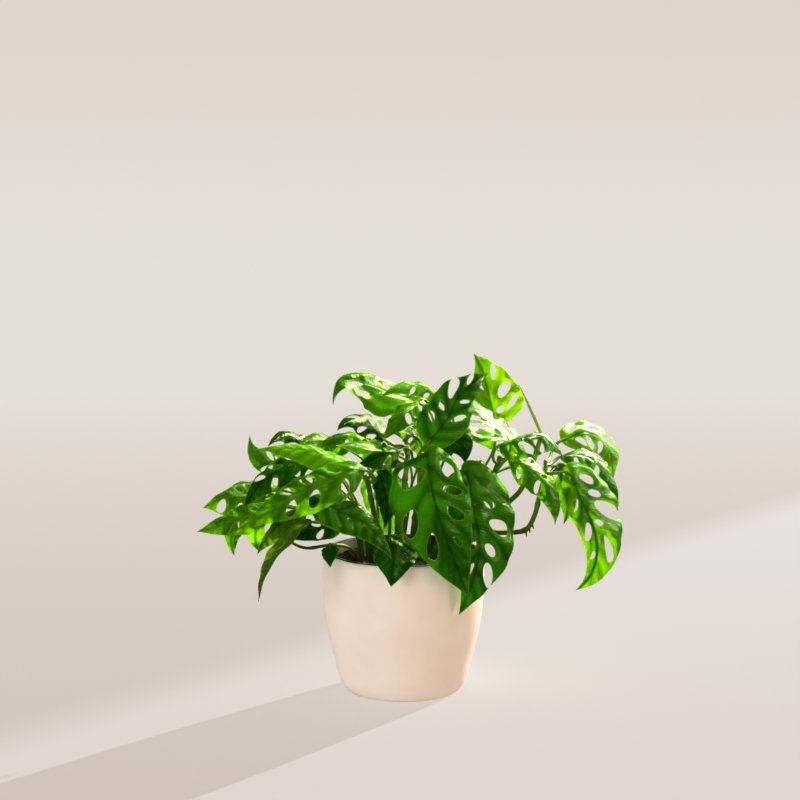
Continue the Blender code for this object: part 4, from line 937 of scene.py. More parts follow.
@dataclass(frozen=True)
class ClayFinish:
    """Matt pale clay, very finely mottled, with pores. Scales are cells a metre."""

    name: str
    pale: tuple
    warm: tuple
    pore: tuple
    cloud_scale: float = 26.0
    grain_scale: float = 700.0
    pore_scale: float = 420.0

    def make(self) -> Material:
        """Build the clay.

        Returns:
            The material.
        """
        r = Recipe(self.name)
        clouds = r.noise(self.cloud_scale, 5.0, 0.6)
        grain = r.noise(self.grain_scale, 3.0, 0.6)
        cells = r.add("ShaderNodeTexVoronoi", {"Vector": r.place, "Scale": self.pore_scale})
        pores = r.near(cells.outputs["Distance"], 0.03, 0.12)
        colour = r.mix(r.between(clouds, 0.35, 0.65, 0.0, 1.0), self.pale, self.warm)
        colour = r.mix(r.between(grain, 0.55, 0.8, 0.0, 0.3), colour, self.warm)
        colour = r.mix(r.times(pores, 0.12), colour, self.pore)
        normal = r.bump(clouds, 0.12, 0.0006, r.bump(grain, 0.2, 0.00015))
        r.set(Base_Color=colour, Normal=normal, Roughness=r.ranged(grain, 0.62, 0.78), IOR=1.45,
              Specular_IOR_Level=0.35)
        return r.material


@dataclass(frozen=True)
class SoilFinish:
    """Damp dark potting soil with reddish grains. Scales are cells a metre."""

    name: str
    dark: tuple
    brown: tuple
    red: tuple
    lump_scale: float = 180.0
    grain_scale: float = 1200.0

    def make(self) -> Material:
        """Build the soil.

        Returns:
            The material.
        """
        r = Recipe(self.name)
        lumps = r.noise(self.lump_scale, 4.0, 0.7)
        grains = r.noise(self.grain_scale, 3.0, 0.7)
        colour = r.mix(r.between(lumps, 0.35, 0.65, 0.0, 1.0), self.dark, self.brown)
        colour = r.mix(r.between(grains, 0.56, 0.7, 0.0, 0.8), colour, self.red)
        normal = r.bump(grains, 0.9, 0.0009, r.bump(lumps, 0.8, 0.002))
        r.set(Base_Color=colour, Normal=normal, Roughness=0.93, Specular_IOR_Level=0.25)
        return r.material


@dataclass(frozen=True)
class PlasticFinish:
    """Black moulded plastic, dulled by dust. Scales are cells a metre."""

    name: str
    colour: tuple
    dust: tuple
    cloud_scale: float = 120.0
    grain_scale: float = 900.0

    def make(self) -> Material:
        """Build the plastic.

        Returns:
            The material.
        """
        r = Recipe(self.name)
        clouds = r.noise(self.cloud_scale, 4.0, 0.6)
        colour = r.mix(r.between(clouds, 0.45, 0.8, 0.0, 0.5), self.colour, self.dust)
        normal = r.bump(r.noise(self.grain_scale), 0.15, 0.0002)
        r.set(Base_Color=colour, Roughness=r.ranged(clouds, 0.42, 0.6), Normal=normal)
        return r.material


class Blade:
    """A leaf's blade: flat outline, holes and veins, and the arched surface that they lie on.

    A flat point is its distance along the midrib and its distance from it, the left half's
    being positive.
    """

    STATIONS = 241
    ARRIVAL_RISE = 0.2
    NARROW_HALF, LONGEST_HOLE = 18.0, 28.0
    HOLE_START, HOLE_RUN = 0.20, 0.56
    HOLE_TURN, HOLE_TURN_FALL = 64.0, 38.0
    MARGIN_STEP, VEIN_STEP = 1.5, 1.3
    MARGIN_WAVES = ((0.022, 4.3, 1), (0.012, 9.7, 2))
    VEIN_PITCH, LAST_VEIN = 0.15, 0.86
    LEAST_HOLE = 8.0

    def __init__(self, plan: LeafPlan, shift: Vector) -> None:
        """Lay the blade on its midrib.

        Args:
            plan: the leaf.
            shift: how far its solid was moved clear of its neighbours.
        """
        self.plan = plan
        chord = (Vector(plan.midrib[1]) - Vector(plan.midrib[0])).normalized()
        level = Vector((chord.x, chord.y, 0.0)).normalized()
        gentle = level.lerp(UP, self.ARRIVAL_RISE).normalized()
        self.arrive = chord if chord.z > self.ARRIVAL_RISE else gentle
        self.rib = Path([Vector(p) + shift for p in plan.midrib], self.arrive)
        self.length = self.rib.length
        self.width = max(plan.left, plan.right)
        rng = random.Random(plan.name)
        self.phase = rng.uniform(0, math.tau)
        self.ripple = RIPPLE * self.width
        self.holes = self._vein_holes(rng) if plan.holes is None else plan.holes
        self._lay_stations()

    def _vein_holes(self, rng: random.Random) -> tuple[Hole, ...]:
        """Lay holes between the side veins, one row on each half.

        Args:
            rng: the leaf's own random draws.

        Returns:
            The holes.
        """
        holes = []
        for side, half in ((1, self.plan.left), (-1, self.plan.right)):
            count = 2 if half < self.NARROW_HALF else 3
            pitch = self.HOLE_RUN / count
            for i in range(count):
                along = self.HOLE_START + pitch * i + rng.uniform(-0.02, 0.02)
                turn = self.HOLE_TURN - self.HOLE_TURN_FALL * along
                across = half * spread(along)
                length = min(0.62 * across / math.sin(math.radians(turn)), self.LONGEST_HOLE)
                width = rng.uniform(0.46, 0.62) * pitch * self.rib.length
                width = min(width, 0.5 * length)
                holes.append(Hole(along, side * rng.uniform(0.46, 0.54), length, width, turn))
        return tuple(holes)

    def _lay_stations(self) -> None:
        """Work out the midrib's places and its up and side directions along the blade."""
        self.shares = np.linspace(0.0, 1.0, self.STATIONS)
        places, ups, sides = [], [], []
        faces = self.plan.faces
        for share in self.shares:
            forward = self.rib.direction(float(share))
            stage = float(share) * (len(faces) - 1)
            first = min(int(stage), len(faces) - 2) if len(faces) > 1 else 0
            hint = Vector(faces[first]).lerp(Vector(faces[min(first + 1, len(faces) - 1)]),
                                             stage - first)
            up = (hint - forward * hint.dot(forward)).normalized()
            places.append(tuple(self.rib.point(float(share))))
            ups.append(tuple(up))
            sides.append(tuple(forward.cross(up)))
        self.places, self.ups, self.sides = np.array(places), np.array(ups), np.array(sides)

    def half(self, across: float) -> float:
        """Greatest half width on the side of a flat point."""
        return self.plan.left if across > 0 else self.plan.right

    def place(self, flat: np.ndarray) -> np.ndarray:
        """Bend flat points of the blade onto its arched surface.

        Args:
            flat: the flat points.

        Returns:
            Their places in space.
        """
        share = np.clip(flat[:, 0] / self.length, 0.0, 1.0)
        at, up, side = (np.stack([np.interp(share, self.shares, table[:, k]) for k in range(3)], 1)
                        for table in (self.places, self.ups, self.sides))
        hand = np.where(flat[:, 1] >= 0, 1.0, -1.0)
        reach = np.abs(flat[:, 1])
        cup, bend = math.radians(self.plan.cup), math.radians(self.plan.curl) / self.width
        out = (np.sin(cup + bend * reach) - math.sin(cup)) / bend
        rise = (math.cos(cup) - np.cos(cup + bend * reach)) / bend
        wave = np.sin(math.tau * RIPPLES * share + self.phase + hand)
        rise = rise + self.ripple * wave * (reach / self.width) ** 2
        return at + side * (out * hand)[:, None] + up * rise[:, None]

    def outline(self, steps: int) -> np.ndarray:
        """Draw the flat outline, up the left margin to the tip and back down the right one.

        Args:
            steps: points on each margin.

        Returns:
            The outline's flat points.
        """
        shares = 0.5 - 0.5 * np.cos(np.pi * np.arange(steps + 1) / steps)
        left = np.stack([shares * self.length, self.plan.left * spread(shares)], 1)
        right = np.stack([shares * self.length, -self.plan.right * spread(shares)], 1)
        return np.concatenate([left, right[1:-1][::-1]])

    def ring(self, hole: Hole, count: int) -> np.ndarray:
        """Draw the flat outline of one hole, a little uneven and fuller at its outer end.

        Args:
            hole: the hole.
            count: points on the ring.

        Returns:
            The ring's flat points.
        """
        angle = math.tau * np.arange(count) / count
        phase = 37 * hole.along + 11 * hole.across
        uneven = 1 + 0.05 * np.cos(2 * angle + phase) + 0.045 * np.sin(3 * angle + 2 * phase)
        u = hole.length / 2 * np.cos(angle) * uneven
        v = hole.width / 2 * np.sin(angle) * (1 + 0.16 * np.cos(angle)) * uneven
        turn = math.radians(hole.turn) * (1 if hole.across > 0 else -1)
        along = hole.along * self.length
        across = hole.across * self.half(hole.across) * spread(hole.along)
        return np.stack([along + u * math.cos(turn) - v * math.sin(turn),
                         across + u * math.sin(turn) + v * math.cos(turn)], 1)

    @cached_property
    def margins(self) -> list[np.ndarray]:
        """Draw the fine outline, gently waved, and the outlines of the holes.

        Returns:
            Rings of flat points, the outline first.
        """
        outline = self.outline(int(self.length / self.MARGIN_STEP) + 12)
        share = outline[:, 0] / self.length
        phase = self.phase + np.sign(outline[:, 1])
        outline[:, 1] *= 1 + sum(size * np.sin(math.tau * count * share + shift * phase)
                                 for size, count, shift in self.MARGIN_WAVES)
        return [outline] + [self.ring(h, 24 if h.length > 13 else 16) for h in self.holes]

    def clear(self, flat: np.ndarray, gap: float = 0.0) -> np.ndarray:
        """Tell which flat points lie inside the outline and outside the holes.

        Args:
            flat: the flat points.
            gap: how far they have to lie from every margin.

        Returns:
            True for each point that does.
        """
        good = within(flat, self.margins[0])
        for ring in self.margins[1:]:
            good &= ~within(flat, ring)
        if gap > 0:
            ends = np.concatenate([np.roll(m, -1, axis=0) for m in self.margins])
            good &= distances(flat, np.concatenate(self.margins), ends) > gap
        return good

    def veins(self) -> list[np.ndarray]:
        """Draw the side veins of both halves, from the midrib to the margin.

        Returns:
            A run of flat points for each vein.
        """
        runs = []
        for side, half in ((1, self.plan.left), (-1, self.plan.right)):
            for start, turn in self._vein_roots(side, half):
                lean = 1 / math.tan(math.radians(turn))
                reach = np.arange(0.0, half * 1.02, self.VEIN_STEP)
                run = np.stack([start + reach * lean + 0.14 * reach ** 2 / half, side * reach], 1)
                inside = self.clear(run) | (reach < 0.5)
                run = run[:int(np.argmin(inside))] if not inside.all() else run
                if len(run) > 2:
                    runs.append(run)
        return runs

    def _vein_roots(self, side: int, half: float) -> list[tuple[float, float]]:
        """Find where the side veins of one half leave the midrib, midway between the holes.

        Args:
            side: 1 for the left half and -1 for the right one.
            half: the half's greatest width.

        Returns:
            For each vein its root along the midrib and its angle from it, in degrees.
        """
        marks: list[tuple[float, float]] = []
        for hole in sorted(self.holes, key=lambda h: h.along):
            if hole.across * side > 0 and hole.length > self.LEAST_HOLE:
                lean = abs(hole.across) * half * spread(hole.along)
                root = hole.along * self.length - lean / math.tan(math.radians(hole.turn))
                if marks and root - marks[-1][0] < 0.06 * self.length:
                    continue
                marks.append((root, hole.turn))
        if not marks:
            shares = [0.05 + 0.13 * i for i in range(7)]
            return [(share * self.length, 62 - 30 * share) for share in shares]
        roots = [((a[0] + b[0]) / 2, (a[1] + b[1]) / 2) for a, b in zip(marks, marks[1:])]
        pitch = self.VEIN_PITCH * self.length
        before = (marks[0][0] - pitch * 0.6, min(marks[0][1] + 6, 75))
        while before[0] > 0.01 * self.length:
            roots.insert(0, before)
            before = (before[0] - pitch * 0.8, min(before[1] + 6, 80))
        after = (marks[-1][0] + pitch * 0.6, marks[-1][1])
        while after[0] < self.LAST_VEIN * self.length:
            roots.append(after)
            after = (after[0] + pitch * 0.75, max(after[1] - 5, 18))
        return roots


class Fit:
    """Finds where a leaf's own solid lies, so that the fine leaf takes its place.

    The depths are how far it may have been moved along SIGHT, nearest first.
    """

    DEPTHS = (0, 3, -3, 6, -6, 9, -9, 12, -12, 15, -15, 18, 21, 24, 27, 30)
    SIGHT = Vector((0.0, 1.0, -0.15))
    BOWS = (4.0, 8.0, 13.0, 19.0, 26.0)
    BOW_WAYS = 8
    SOIL_REACH = 64.0
    FIRST_SEAT, LAST_SEAT = 6, 60
    LONG_BLADE = 62.0
    BLADE_SKIN, STALK_SKIN = 0.35, 1.45
    BLADE_LIMIT, STALK_LIMIT = 4.0, 3.0

    def __init__(self, plan: LeafPlan, vines: dict[str, tuple[VinePlan, Path]]) -> None:
        """Read the solid's points.

        Args:
            plan: the leaf.
            vines: the stems and their curves.
        """
        self.plan, self.vines = plan, vines
        corners = frame["nodes"][plan.name].data.vertices
        self.places = np.empty(len(corners) * 3)
        corners.foreach_get("co", self.places)
        self.places = self.places.reshape(-1, 3) / MM
        self.tree = KDTree(len(self.places))
        for i, place in enumerate(self.places):
            self.tree.insert(place, i)
        self.tree.balance()

    def _off(self, places: Sequence, radius: float) -> float:
        """How far some places are, in all, from lying radius away from the solid's points."""
        return sum(abs(self.tree.find(p)[2] - radius) for p in places)

    def blade(self) -> Blade:
        """Lay the blade at the depth at which its margin meets the solid's.

        Returns:
            The blade.
        """
        best, found = math.inf, None
        steps = 8 if Blade(self.plan, Vector()).length < self.LONG_BLADE else 9
        for depth in self.DEPTHS:
            blade = Blade(self.plan, self.SIGHT * depth)
            margin = blade.place(blade.outline(steps))
            off = self._off(margin[[2, 3, 4, 5, steps, -3, -4, -5]], self.BLADE_SKIN)
            if off < best:
                best, found = off, blade
        if best > self.BLADE_LIMIT:
            log.warning("%s lies %.1f mm off its solid in all", self.plan.name, best)
        return found

    def _seats(self, blade: Blade) -> Iterator[tuple[Vector, Vector]]:
        """Try the seats that the stalk may have.

        Args:
            blade: the blade that it carries.

        Returns:
            One by one, a point and the way that the stalk sets off there.
        """
        if self.plan.carrier == "soil":
            low = self.places[self.places[:, 2] < SOIL_TOP - ROOTED + 0.5]
            foot = low[np.hypot(low[:, 0], low[:, 1]) < self.SOIL_REACH].mean(axis=0)
            yield Vector((foot[0], foot[1], STEM_FOOT)), UP
            return
        vine, path = self.vines[self.plan.carrier]
        rings, radii = vine_rings(vine, path)
        behind = blade.rib.point(0.0) - blade.arrive * 6
        for i in range(self.FIRST_SEAT, self.LAST_SEAT + 1):
            stage = i / self.LAST_SEAT * (len(rings) - 1)
            k = min(int(stage), len(rings) - 2)
            axis = rings[k].lerp(rings[k + 1], stage - k)
            along = (rings[k + 1] - rings[k]).normalized()
            out = behind - axis
            out = (out - along * out.dot(along)).normalized()
            yield axis + out * (radii[k] + STALK_SEAT_GAP), out

    def _bows(self) -> Iterator[Vector]:
        """Try the sideways bows that the stalk may have.

        Returns:
            One by one, how far its course is drawn aside.
        """
        yield Vector()
        for size in self.BOWS:
            for i in range(self.BOW_WAYS):
                angle = math.tau * i / self.BOW_WAYS
                yield Vector((size * math.cos(angle), size * math.sin(angle), 0))

    def stalk(self, blade: Blade) -> list[Vector]:
        """Find the stalk's course from its foot to a little way up the midrib.

        Args:
            blade: the blade that it carries.

        Returns:
            The points of the course.
        """
        best, found = math.inf, None
        for seat, rise in self._seats(blade):
            for bow in self._bows():
                course = stalk_course(blade, seat, rise, bow)
                off = self._off(course[1:4], self.STALK_SKIN)
                if off < best:
                    best, found = off, course
        if best > self.STALK_LIMIT:
            log.warning("the stalk of %s lies %.1f mm off its solid", self.plan.name, best)
        if self.plan.carrier == "soil":
            found.insert(0, Vector((found[0].x, found[0].y, SOIL_TOP - ROOTED)))
        return found


def stalk_course(blade: Blade, foot: Vector, rise: Vector, bow: Vector) -> list[Vector]:
    """Lay a stalk from its foot up into its blade.

    Args:
        blade: the blade that it carries.
        foot: where it starts.
        rise: the way that it sets off.
        bow: how far its middle is drawn aside.

    Returns:
        The points that it runs through.
    """
    base = blade.rib.point(0.0)
    reach = (base - foot).length
    first = foot + rise * (0.42 * reach) + bow
    second = base - blade.arrive * (0.30 * reach) + bow * 0.5
    course = []
    for i in range(STALK_POINTS + 1):
        x = i / STALK_POINTS
        course.append(foot * (1 - x) ** 3 + first * (3 * x * (1 - x) ** 2)
                      + second * (3 * x * x * (1 - x)) + base * x ** 3)
    course.append(blade.rib.point(STALK_INTO_BLADE / blade.rib.length))
    return course


def vine_rings(vine: VinePlan, path: Path) -> tuple[list[Vector], list[float]]:
    """Find the rings of a stem's solid.

    Args:
        vine: the stem.
        path: its curve.

    Returns:
        The rings' places and their radii.
    """
    count = max(5, round(path.length / VINE_STEP))
    shares = [i / count for i in range(count + 1)]
    return [path.point(s) for s in shares], [vine.radius * (1 - VINE_TAPER * s) for s in shares]


@dataclass
class FineLeaf:
    """A leaf with cut holes, grooved midrib, quilted skin between its veins, and its stalk."""

    plan: LeafPlan
    thickness: float = 0.5
    pitch: float = 2.0
    rib_rows: tuple = (0.8, 1.8)
    rib_room: float = 2.6
    margin_room: float = 0.6
    quilt: float = 2.2
    quilt_width: float = 3.6
    quilt_edge: float = 5.0
    groove: float = 0.45
    groove_width: float = 1.3
    keel: float = 1.0
    keel_width: float = 0.9
    frill: float = 1.1
    frills: float = 6.3
    buckle: float = 0.45
    stalk_sides: int = 12
    stalk_step: float = 2.2
    joint_at: float = 4.0
    joint_width: float = 3.2
    joint_swell: float = 0.35
    ring_at: float = 8.5
    ring_width: float = 0.8

    def build(self, vines: dict, skins: dict, stem: Material) -> None:
        """Make the leaf where its solid lies.

        Args:
            vines: the stems and their curves.
            skins: the leaf materials, by skin.
            stem: the stalk's material.
        """
        fit = Fit(self.plan, vines)
        blade = fit.blade()
        draft = Draft()
        self._add_blade(draft, blade)
        self._add_stalk(draft, fit.stalk(blade))
        skin = skins[SPECIAL_SKINS.get(self.plan.name, TONE_SKINS[self.plan.tone])]
        thing = draft.build(self.plan.name.replace("leaf_", "blade_"), (skin, stem))
        dress(thing, self.plan.name)

    def _grid(self, blade: Blade, runs: list[np.ndarray]) -> np.ndarray:
        """Lay the points inside the blade: rows by the midrib, points on veins, and a grid.

        Args:
            blade: the blade.
            runs: its side veins.

        Returns:
            The flat points.
        """
        pitch = self.pitch
        along = np.arange(1.5, blade.length - 1.5, pitch * 0.85)
        rib = np.stack([along, np.zeros_like(along)], 1)
        rows = [rib[blade.clear(rib, 0.7)]]
        for across in self.rib_rows:
            for side in (1, -1):
                row = np.stack([along, np.full_like(along, side * across)], 1)
                rows.append(row[blade.clear(row, self.margin_room)])
        on_veins = [run[(np.abs(run[:, 1]) > self.rib_room) & blade.clear(run, self.margin_room)]
                    for run in runs]
        x = np.arange(0.0, blade.length, pitch)
        y = np.arange(-blade.plan.right, blade.plan.left, pitch * 0.87)
        grid = np.stack(np.meshgrid(x, y, indexing="ij"), -1)
        grid[:, 1::2, 0] += pitch / 2
        grid = grid.reshape(-1, 2)
        grid = grid[blade.clear(grid, 0.55 * pitch) & (np.abs(grid[:, 1]) > self.rib_room)]
        taken = np.concatenate(on_veins)
        grid = grid[distances(grid, taken, taken) > 0.55 * pitch]
        return np.concatenate(rows + on_veins + [grid])

    def _flat_mesh(self, blade: Blade, runs: list) -> tuple[np.ndarray, np.ndarray]:
        """Join the blade's flat points by triangles.

        Args:
            blade: the blade.
            runs: its side veins.

        Returns:
            The flat points and the triangles.
        """
        edges, start = [], 0
        for ring in blade.margins:
            count = len(ring)
            edges += [(start + i, start + (i + 1) % count) for i in range(count)]
            start += count
        flat = np.concatenate(blade.margins + [self._grid(blade, runs)])
        found = delaunay_2d_cdt([Vector(p) for p in flat], edges, [], 1, 1e-5)
        points = np.array([tuple(p) for p in found[0]])
        triangles = np.array([face for face in found[2] if len(face) == 3])
        centres = points[triangles].mean(axis=1)
        return points, triangles[blade.clear(centres)][:, ::-1]

    def _relief(self, blade: Blade, flat: np.ndarray, vein: np.ndarray,
                edge: np.ndarray) -> np.ndarray:
        """Raise the skin between the veins, groove the midrib and wave the margins.

        Args:
            blade: the blade.
            flat: its flat points.
            vein: their distances from the side veins.
            edge: their distances from the margins.

        Returns:
            How far each point rises over the blade's arched surface.
        """
        along, across = flat[:, 0], flat[:, 1]
        rib, phase = np.abs(across), blade.phase
        share = np.clip(along / blade.length, 0.0, 1.0)
        quilt = 1 - np.exp(-(np.minimum(vein, rib) / self.quilt_width) ** 2)
        relief = self.quilt * quilt * ease(0, self.quilt_edge, edge)
        relief -= self.groove * np.exp(-(rib / self.groove_width) ** 2) * (1 - share) ** 0.5
        wave = np.sin(math.tau * self.frills * share + 3 * phase + np.sign(across))
        relief += self.frill * wave * (rib / blade.width) ** 3
        relief += self.buckle * (np.sin(0.21 * along + 0.17 * across + phase)
                                 + np.sin(0.30 * across - 0.11 * along + 2 * phase))
        return relief

    def _add_blade(self, draft: Draft, blade: Blade) -> None:
        """Add the blade with its relief, its two sides and its margins.

        Args:
            draft: the leaf's mesh.
            blade: the blade.
        """
        runs = blade.veins()
        flat, triangles = self._flat_mesh(blade, runs)
        vein = distances(flat, np.concatenate([run[:-1] for run in runs]),
                         np.concatenate([run[1:] for run in runs]))
        rib = np.abs(flat[:, 1])
        edge = distances(flat, np.concatenate(blade.margins),
                         np.concatenate([np.roll(m, -1, axis=0) for m in blade.margins]))
        share = np.clip(flat[:, 0] / blade.length, 0.0, 1.0)
        middle = blade.place(flat)
        normals = point_normals(middle, triangles)
        middle = middle + normals * self._relief(blade, flat, vein, edge)[:, None]
        normals = point_normals(middle, triangles)
        keel = self.keel * np.exp(-(rib / self.keel_width) ** 2) * (1 - share) ** 0.7
        top = middle + normals * (self.thickness / 2)
        foot = middle - normals * (self.thickness / 2 + keel)[:, None]
        faces, kept = closed_shell(triangles, len(flat))
        twice = {"vein": vein, "rib": rib, "edge": edge, "slant": flat[:, 0] - 0.55 * rib}
        values = {key: np.concatenate([value, value])[kept] for key, value in twice.items()}
        values["under"] = np.repeat([0.0, 1.0], len(flat))[kept]
        draft.add(np.concatenate([top, foot])[kept], faces, 0, **values)

    def _add_stalk(self, draft: Draft, course: list[Vector]) -> None:
        """Add the stalk, swollen at its foot and at the joint below the blade.

        Args:
            draft: the leaf's mesh.
            course: the points that the stalk runs through.
        """
        path = Path(course)
        points = path.samples(self.stalk_step)
        last = len(points) - 1
        radii, scars = [], []
        for i in range(last + 1):
            run = i / last
            left = path.length * (1 - run) - STALK_INTO_BLADE
            foot = (STALK_FOOT_SWELL - 1) * max(0.0, 1 - 1.6 * run)
            joint = self.joint_swell * math.exp(-((left - self.joint_at) / self.joint_width) ** 2)
            taper = 1 if left > 0 else max(0.45, 1 + 0.09 * left)
            radii.append(STALK_RADIUS * (1 + foot + joint) * taper)
            scars.append(0.35 * math.exp(-((left - self.ring_at) / self.ring_width) ** 2))
        bar, faces, _ = swept(points, radii, self.stalk_sides, notch=0.22)
        draft.add(bar, faces, 1, scar=np.repeat(scars, self.stalk_sides))


def closed_shell(triangles: np.ndarray, count: int) -> tuple[list, np.ndarray]:
    """Close the two sides of a sheet along its margins.

    Args:
        triangles: the upper side's triangles. The lower side has the same ones, turned over.
        count: points of the sheet. The lower side's follow the upper side's.

    Returns:
        The faces, and the points of both sides that they use, in order.
    """
    pairs = dict.fromkeys(pair for a, b, c in triangles for pair in ((a, b), (b, c), (c, a)))
    rim = [(b, a, a + count, b + count) for a, b in pairs if (b, a) not in pairs]
    faces = list(triangles) + [t[::-1] + count for t in triangles] + rim
    used = np.unique(triangles)
    kept = np.concatenate([used, used + count])
    order = np.full(2 * count, -1)
    order[kept] = np.arange(len(kept))
    return [tuple(order[i] for i in face) for face in faces], kept


@dataclass
class Stem:
    """A vine stem with swollen joints, ring scars and a few stubs of roots."""

    plan: VinePlan
    path: Path
    step: float = 1.6
    joint_pitch: float = 27.0
    joint_width: float = 2.2
    swell: float = 0.24
    scar_at: float = 1.2
    scar_width: float = 0.7
    sides: int = 20
    stubs: tuple = ()
    stub_radii: tuple = (0.95, 0.85, 0.6)
    stub_reach: tuple = (1.6, 3.4)

    def build(self, skin: Material) -> None:
        """Make the stem over its solid.

        Args:
            skin: its material.
        """
        places = [Vector((*self.plan.points[0][:2], SOIL_TOP - ROOTED))]
        places += self.path.samples(self.step)
        radii, scars = [self.plan.radius], [0.0]
        for i in range(len(places) - 1):
            share = i / (len(places) - 2)
            run = share * self.path.length
            off = (run % self.joint_pitch) - self.joint_pitch / 2
            joint = math.exp(-(off / self.joint_width) ** 2)
            radii.append(self.plan.radius * (1 - VINE_TAPER * share) * (1 + self.swell * joint))
            scars.append(0.75 * math.exp(-((off - self.scar_at) / self.scar_width) ** 2))
        bar, faces, _ = swept(places, radii, self.sides, notch=0.08, round_end=True)
        scars += [0.5] * (len(bar) // self.sides - len(scars))
        draft = Draft().add(bar, faces, scar=np.repeat(scars, self.sides))
        for share, way in self.stubs:
            foot = self.path.point(share)
            way = Vector(way).normalized()
            course = [foot] + [foot + way * (self.plan.radius + reach) for reach in self.stub_reach]
            stub, faces, _ = swept(course, self.stub_radii, 10, round_end=True)
            draft.add(stub, faces, scar=np.ones(len(stub)))
        thing = draft.build(self.plan.name.replace("vine", "stem"), (skin,))
        dress(thing, self.plan.name)


@dataclass
class Spear:
    """The rolled new leaf: a slim spike with the edge of its roll running along it."""

    points: tuple = ((125.1, -24.85, 240.4), (126, -23.2, 244.5), (122, -22, 255),
                     (116.5, -20, 267), (111, -20, 279), (105.5, -20, 289.5))
    radii: tuple = (1.9, 2.1, 2.2, 1.9, 1.1, 0.35)
    slim: float = 0.72
    step: float = 1.2
    sides: int = 24

    def build(self, skin: Material) -> None:
        """Make the spike over its solid.

        Args:
            skin: its material.
        """
        path = Path(self.points)
        places = path.samples(self.step)
        shares = np.linspace(0.0, 1.0, len(places))
        radii = self.slim * np.interp(shares, np.linspace(0.0, 1.0, len(self.radii)), self.radii)
        bar, faces, runs = swept(places, list(radii), self.sides, notch=0.3, round_end=True)
        rib = np.tile(np.linspace(0.6, 6.0, self.sides), len(bar) // self.sides)
        plain = np.full(len(bar), 3.0)
        draft = Draft().add(bar, faces, rib=rib, edge=plain, vein=plain, slant=runs)
        dress(draft.build("rolled_leaf", (skin,)), "spear_leaf")


@dataclass
class OuterPot:
    """The pale clay pot: rounded foot, gently swelling wall and plain rounded lip."""

    height: float = 132.0
    wall: float = 4.0
    floor: float = 6.0
    outside: tuple = ((56.0, 5.0), (60.0, 13.0), (65.7, 36.0), (71.3, 59.0), (74.3, 82.0),
                      (75.5, 108.0), (74.5, 130.0))
    foot: tuple = ((0.0, 0.0), (49.0, 0.0), (51.5, 0.5), (54.0, 2.2))
    step: float = 2.5
    lip_steps: int = 8
    sides: int = 144

    def build(self, clay: Material) -> None:
        """Make the pot over its solid.

        Args:
            clay: its material.
        """
        shell = Path([(r, 0.0, z) for r, z in self.outside])
        wall = [(p.x, p.z) for p in shell.samples(self.step)]
        reach = self.wall / 2
        out, up = self.outside[-1][0] - reach, self.height - reach
        angles = [math.pi * i / self.lip_steps for i in range(self.lip_steps + 1)]
        lip = [(out + reach * math.cos(angle), up + reach * math.sin(angle)) for angle in angles]
        inner = [(r - self.wall, z) for r, z in reversed(wall)
                 if self.floor + 6 < z < self.height - 4]
        low = inner[-1][0]
        floor = [(low - 1.0, self.floor + 3), (low - 4.0, self.floor), (0.0, self.floor)]
        body = turned([*self.foot, *wall[:-1], *lip, *inner, *floor], self.sides)
        dress(Draft().add(*body).build("clay_pot", (clay,), sharp=70), "pot")


@dataclass
class InnerPot:
    """The thin black pot that the plant grows in, with a stiff rim and drain holes."""

    top: float = 132.4
    foot: float = 6.3
    top_radius: float = 68.6
    foot_radius: float = 50.0
    wall: float = 1.2
    rim: float = 1.5
    rim_depth: float = 5.0
    rounding: float = 0.4
    drain_radius: float = 4.0
    drain_ring: float = 30.0
    drain_reach: float = 5.0
    drain_sides: int = 24
    drains: int = 6
    sides: int = 144

    def radius(self, height: float) -> float:
        """Radius of the wall's outside at a height."""
        slope = (self.top_radius - self.foot_radius) / (self.top - self.foot)
        return self.foot_radius + slope * (height - self.foot)

    def build(self, plastic: Material) -> None:
        """Make the nursery pot over its solid.

        Args:
            plastic: its material.
        """
        under, reach = self.top - self.rim_depth, self.top_radius + self.rim
        inside, edge = self.top_radius - self.wall, self.top - self.rounding
        floor = self.foot + self.wall
        profile = [(0.0, self.foot), (self.foot_radius, self.foot), (self.radius(under), under),
                   (reach, under), (reach, edge), (reach - self.rounding, self.top),
                   (inside + 0.3, self.top), (inside, edge),
                   (self.foot_radius - self.wall, floor), (0.0, floor)]
        body = turned(profile, self.sides)
        thing = Draft().add(*body).build("grow_pot", (plastic,), sharp=40)
        cutters = [self._drain(i) for i in range(self.drains)]
        for cutter in cutters:
            cut = thing.modifiers.new("Drain", "BOOLEAN")
            cut.operation = "DIFFERENCE"
            cut.object = cutter
        solid = evaluated_mesh(thing)
        thing.modifiers.clear()
        thing.data = solid
        for cutter in cutters:
            bpy.data.objects.remove(cutter, do_unlink=True)
        dress(thing, "nursery_pot")

    def _drain(self, i: int) -> Thing:
        """Make a cutter for one drain hole.

        Args:
            i: the hole's number.

        Returns:
            The cutter's object.
        """
        angle = math.tau * i / self.drains
        centre = Vector((self.drain_ring * math.cos(angle), self.drain_ring * math.sin(angle), 0))
        ends = [centre + UP * (self.foot + sign * self.drain_reach) for sign in (-1, 1)]
        points, faces, _ = swept(ends, (self.drain_radius, self.drain_radius), self.drain_sides)
        return Draft().add(points, faces).build("drain_cutter", ())


def evaluated_mesh(thing: Thing) -> bpy.types.Mesh:
    """Copy a mesh as its object's modifiers leave it.

    Args:
        thing: the object.

    Returns:
        A plain mesh.
    """
    bpy.context.view_layer.update()
    graph = bpy.context.evaluated_depsgraph_get()
    return bpy.data.meshes.new_from_object(thing.evaluated_get(graph))


@dataclass(frozen=True)
class Scatter:
    """How small pieces lie on a surface.

    density is their number a square metre, smallest and largest are the metres that a unit of a
    piece comes to, flat is its height as a share of that, and tilt its lean, in radians.
    """

    density: float
    smallest: float
    largest: float
    flat: float
    tilt: float
    seed: int


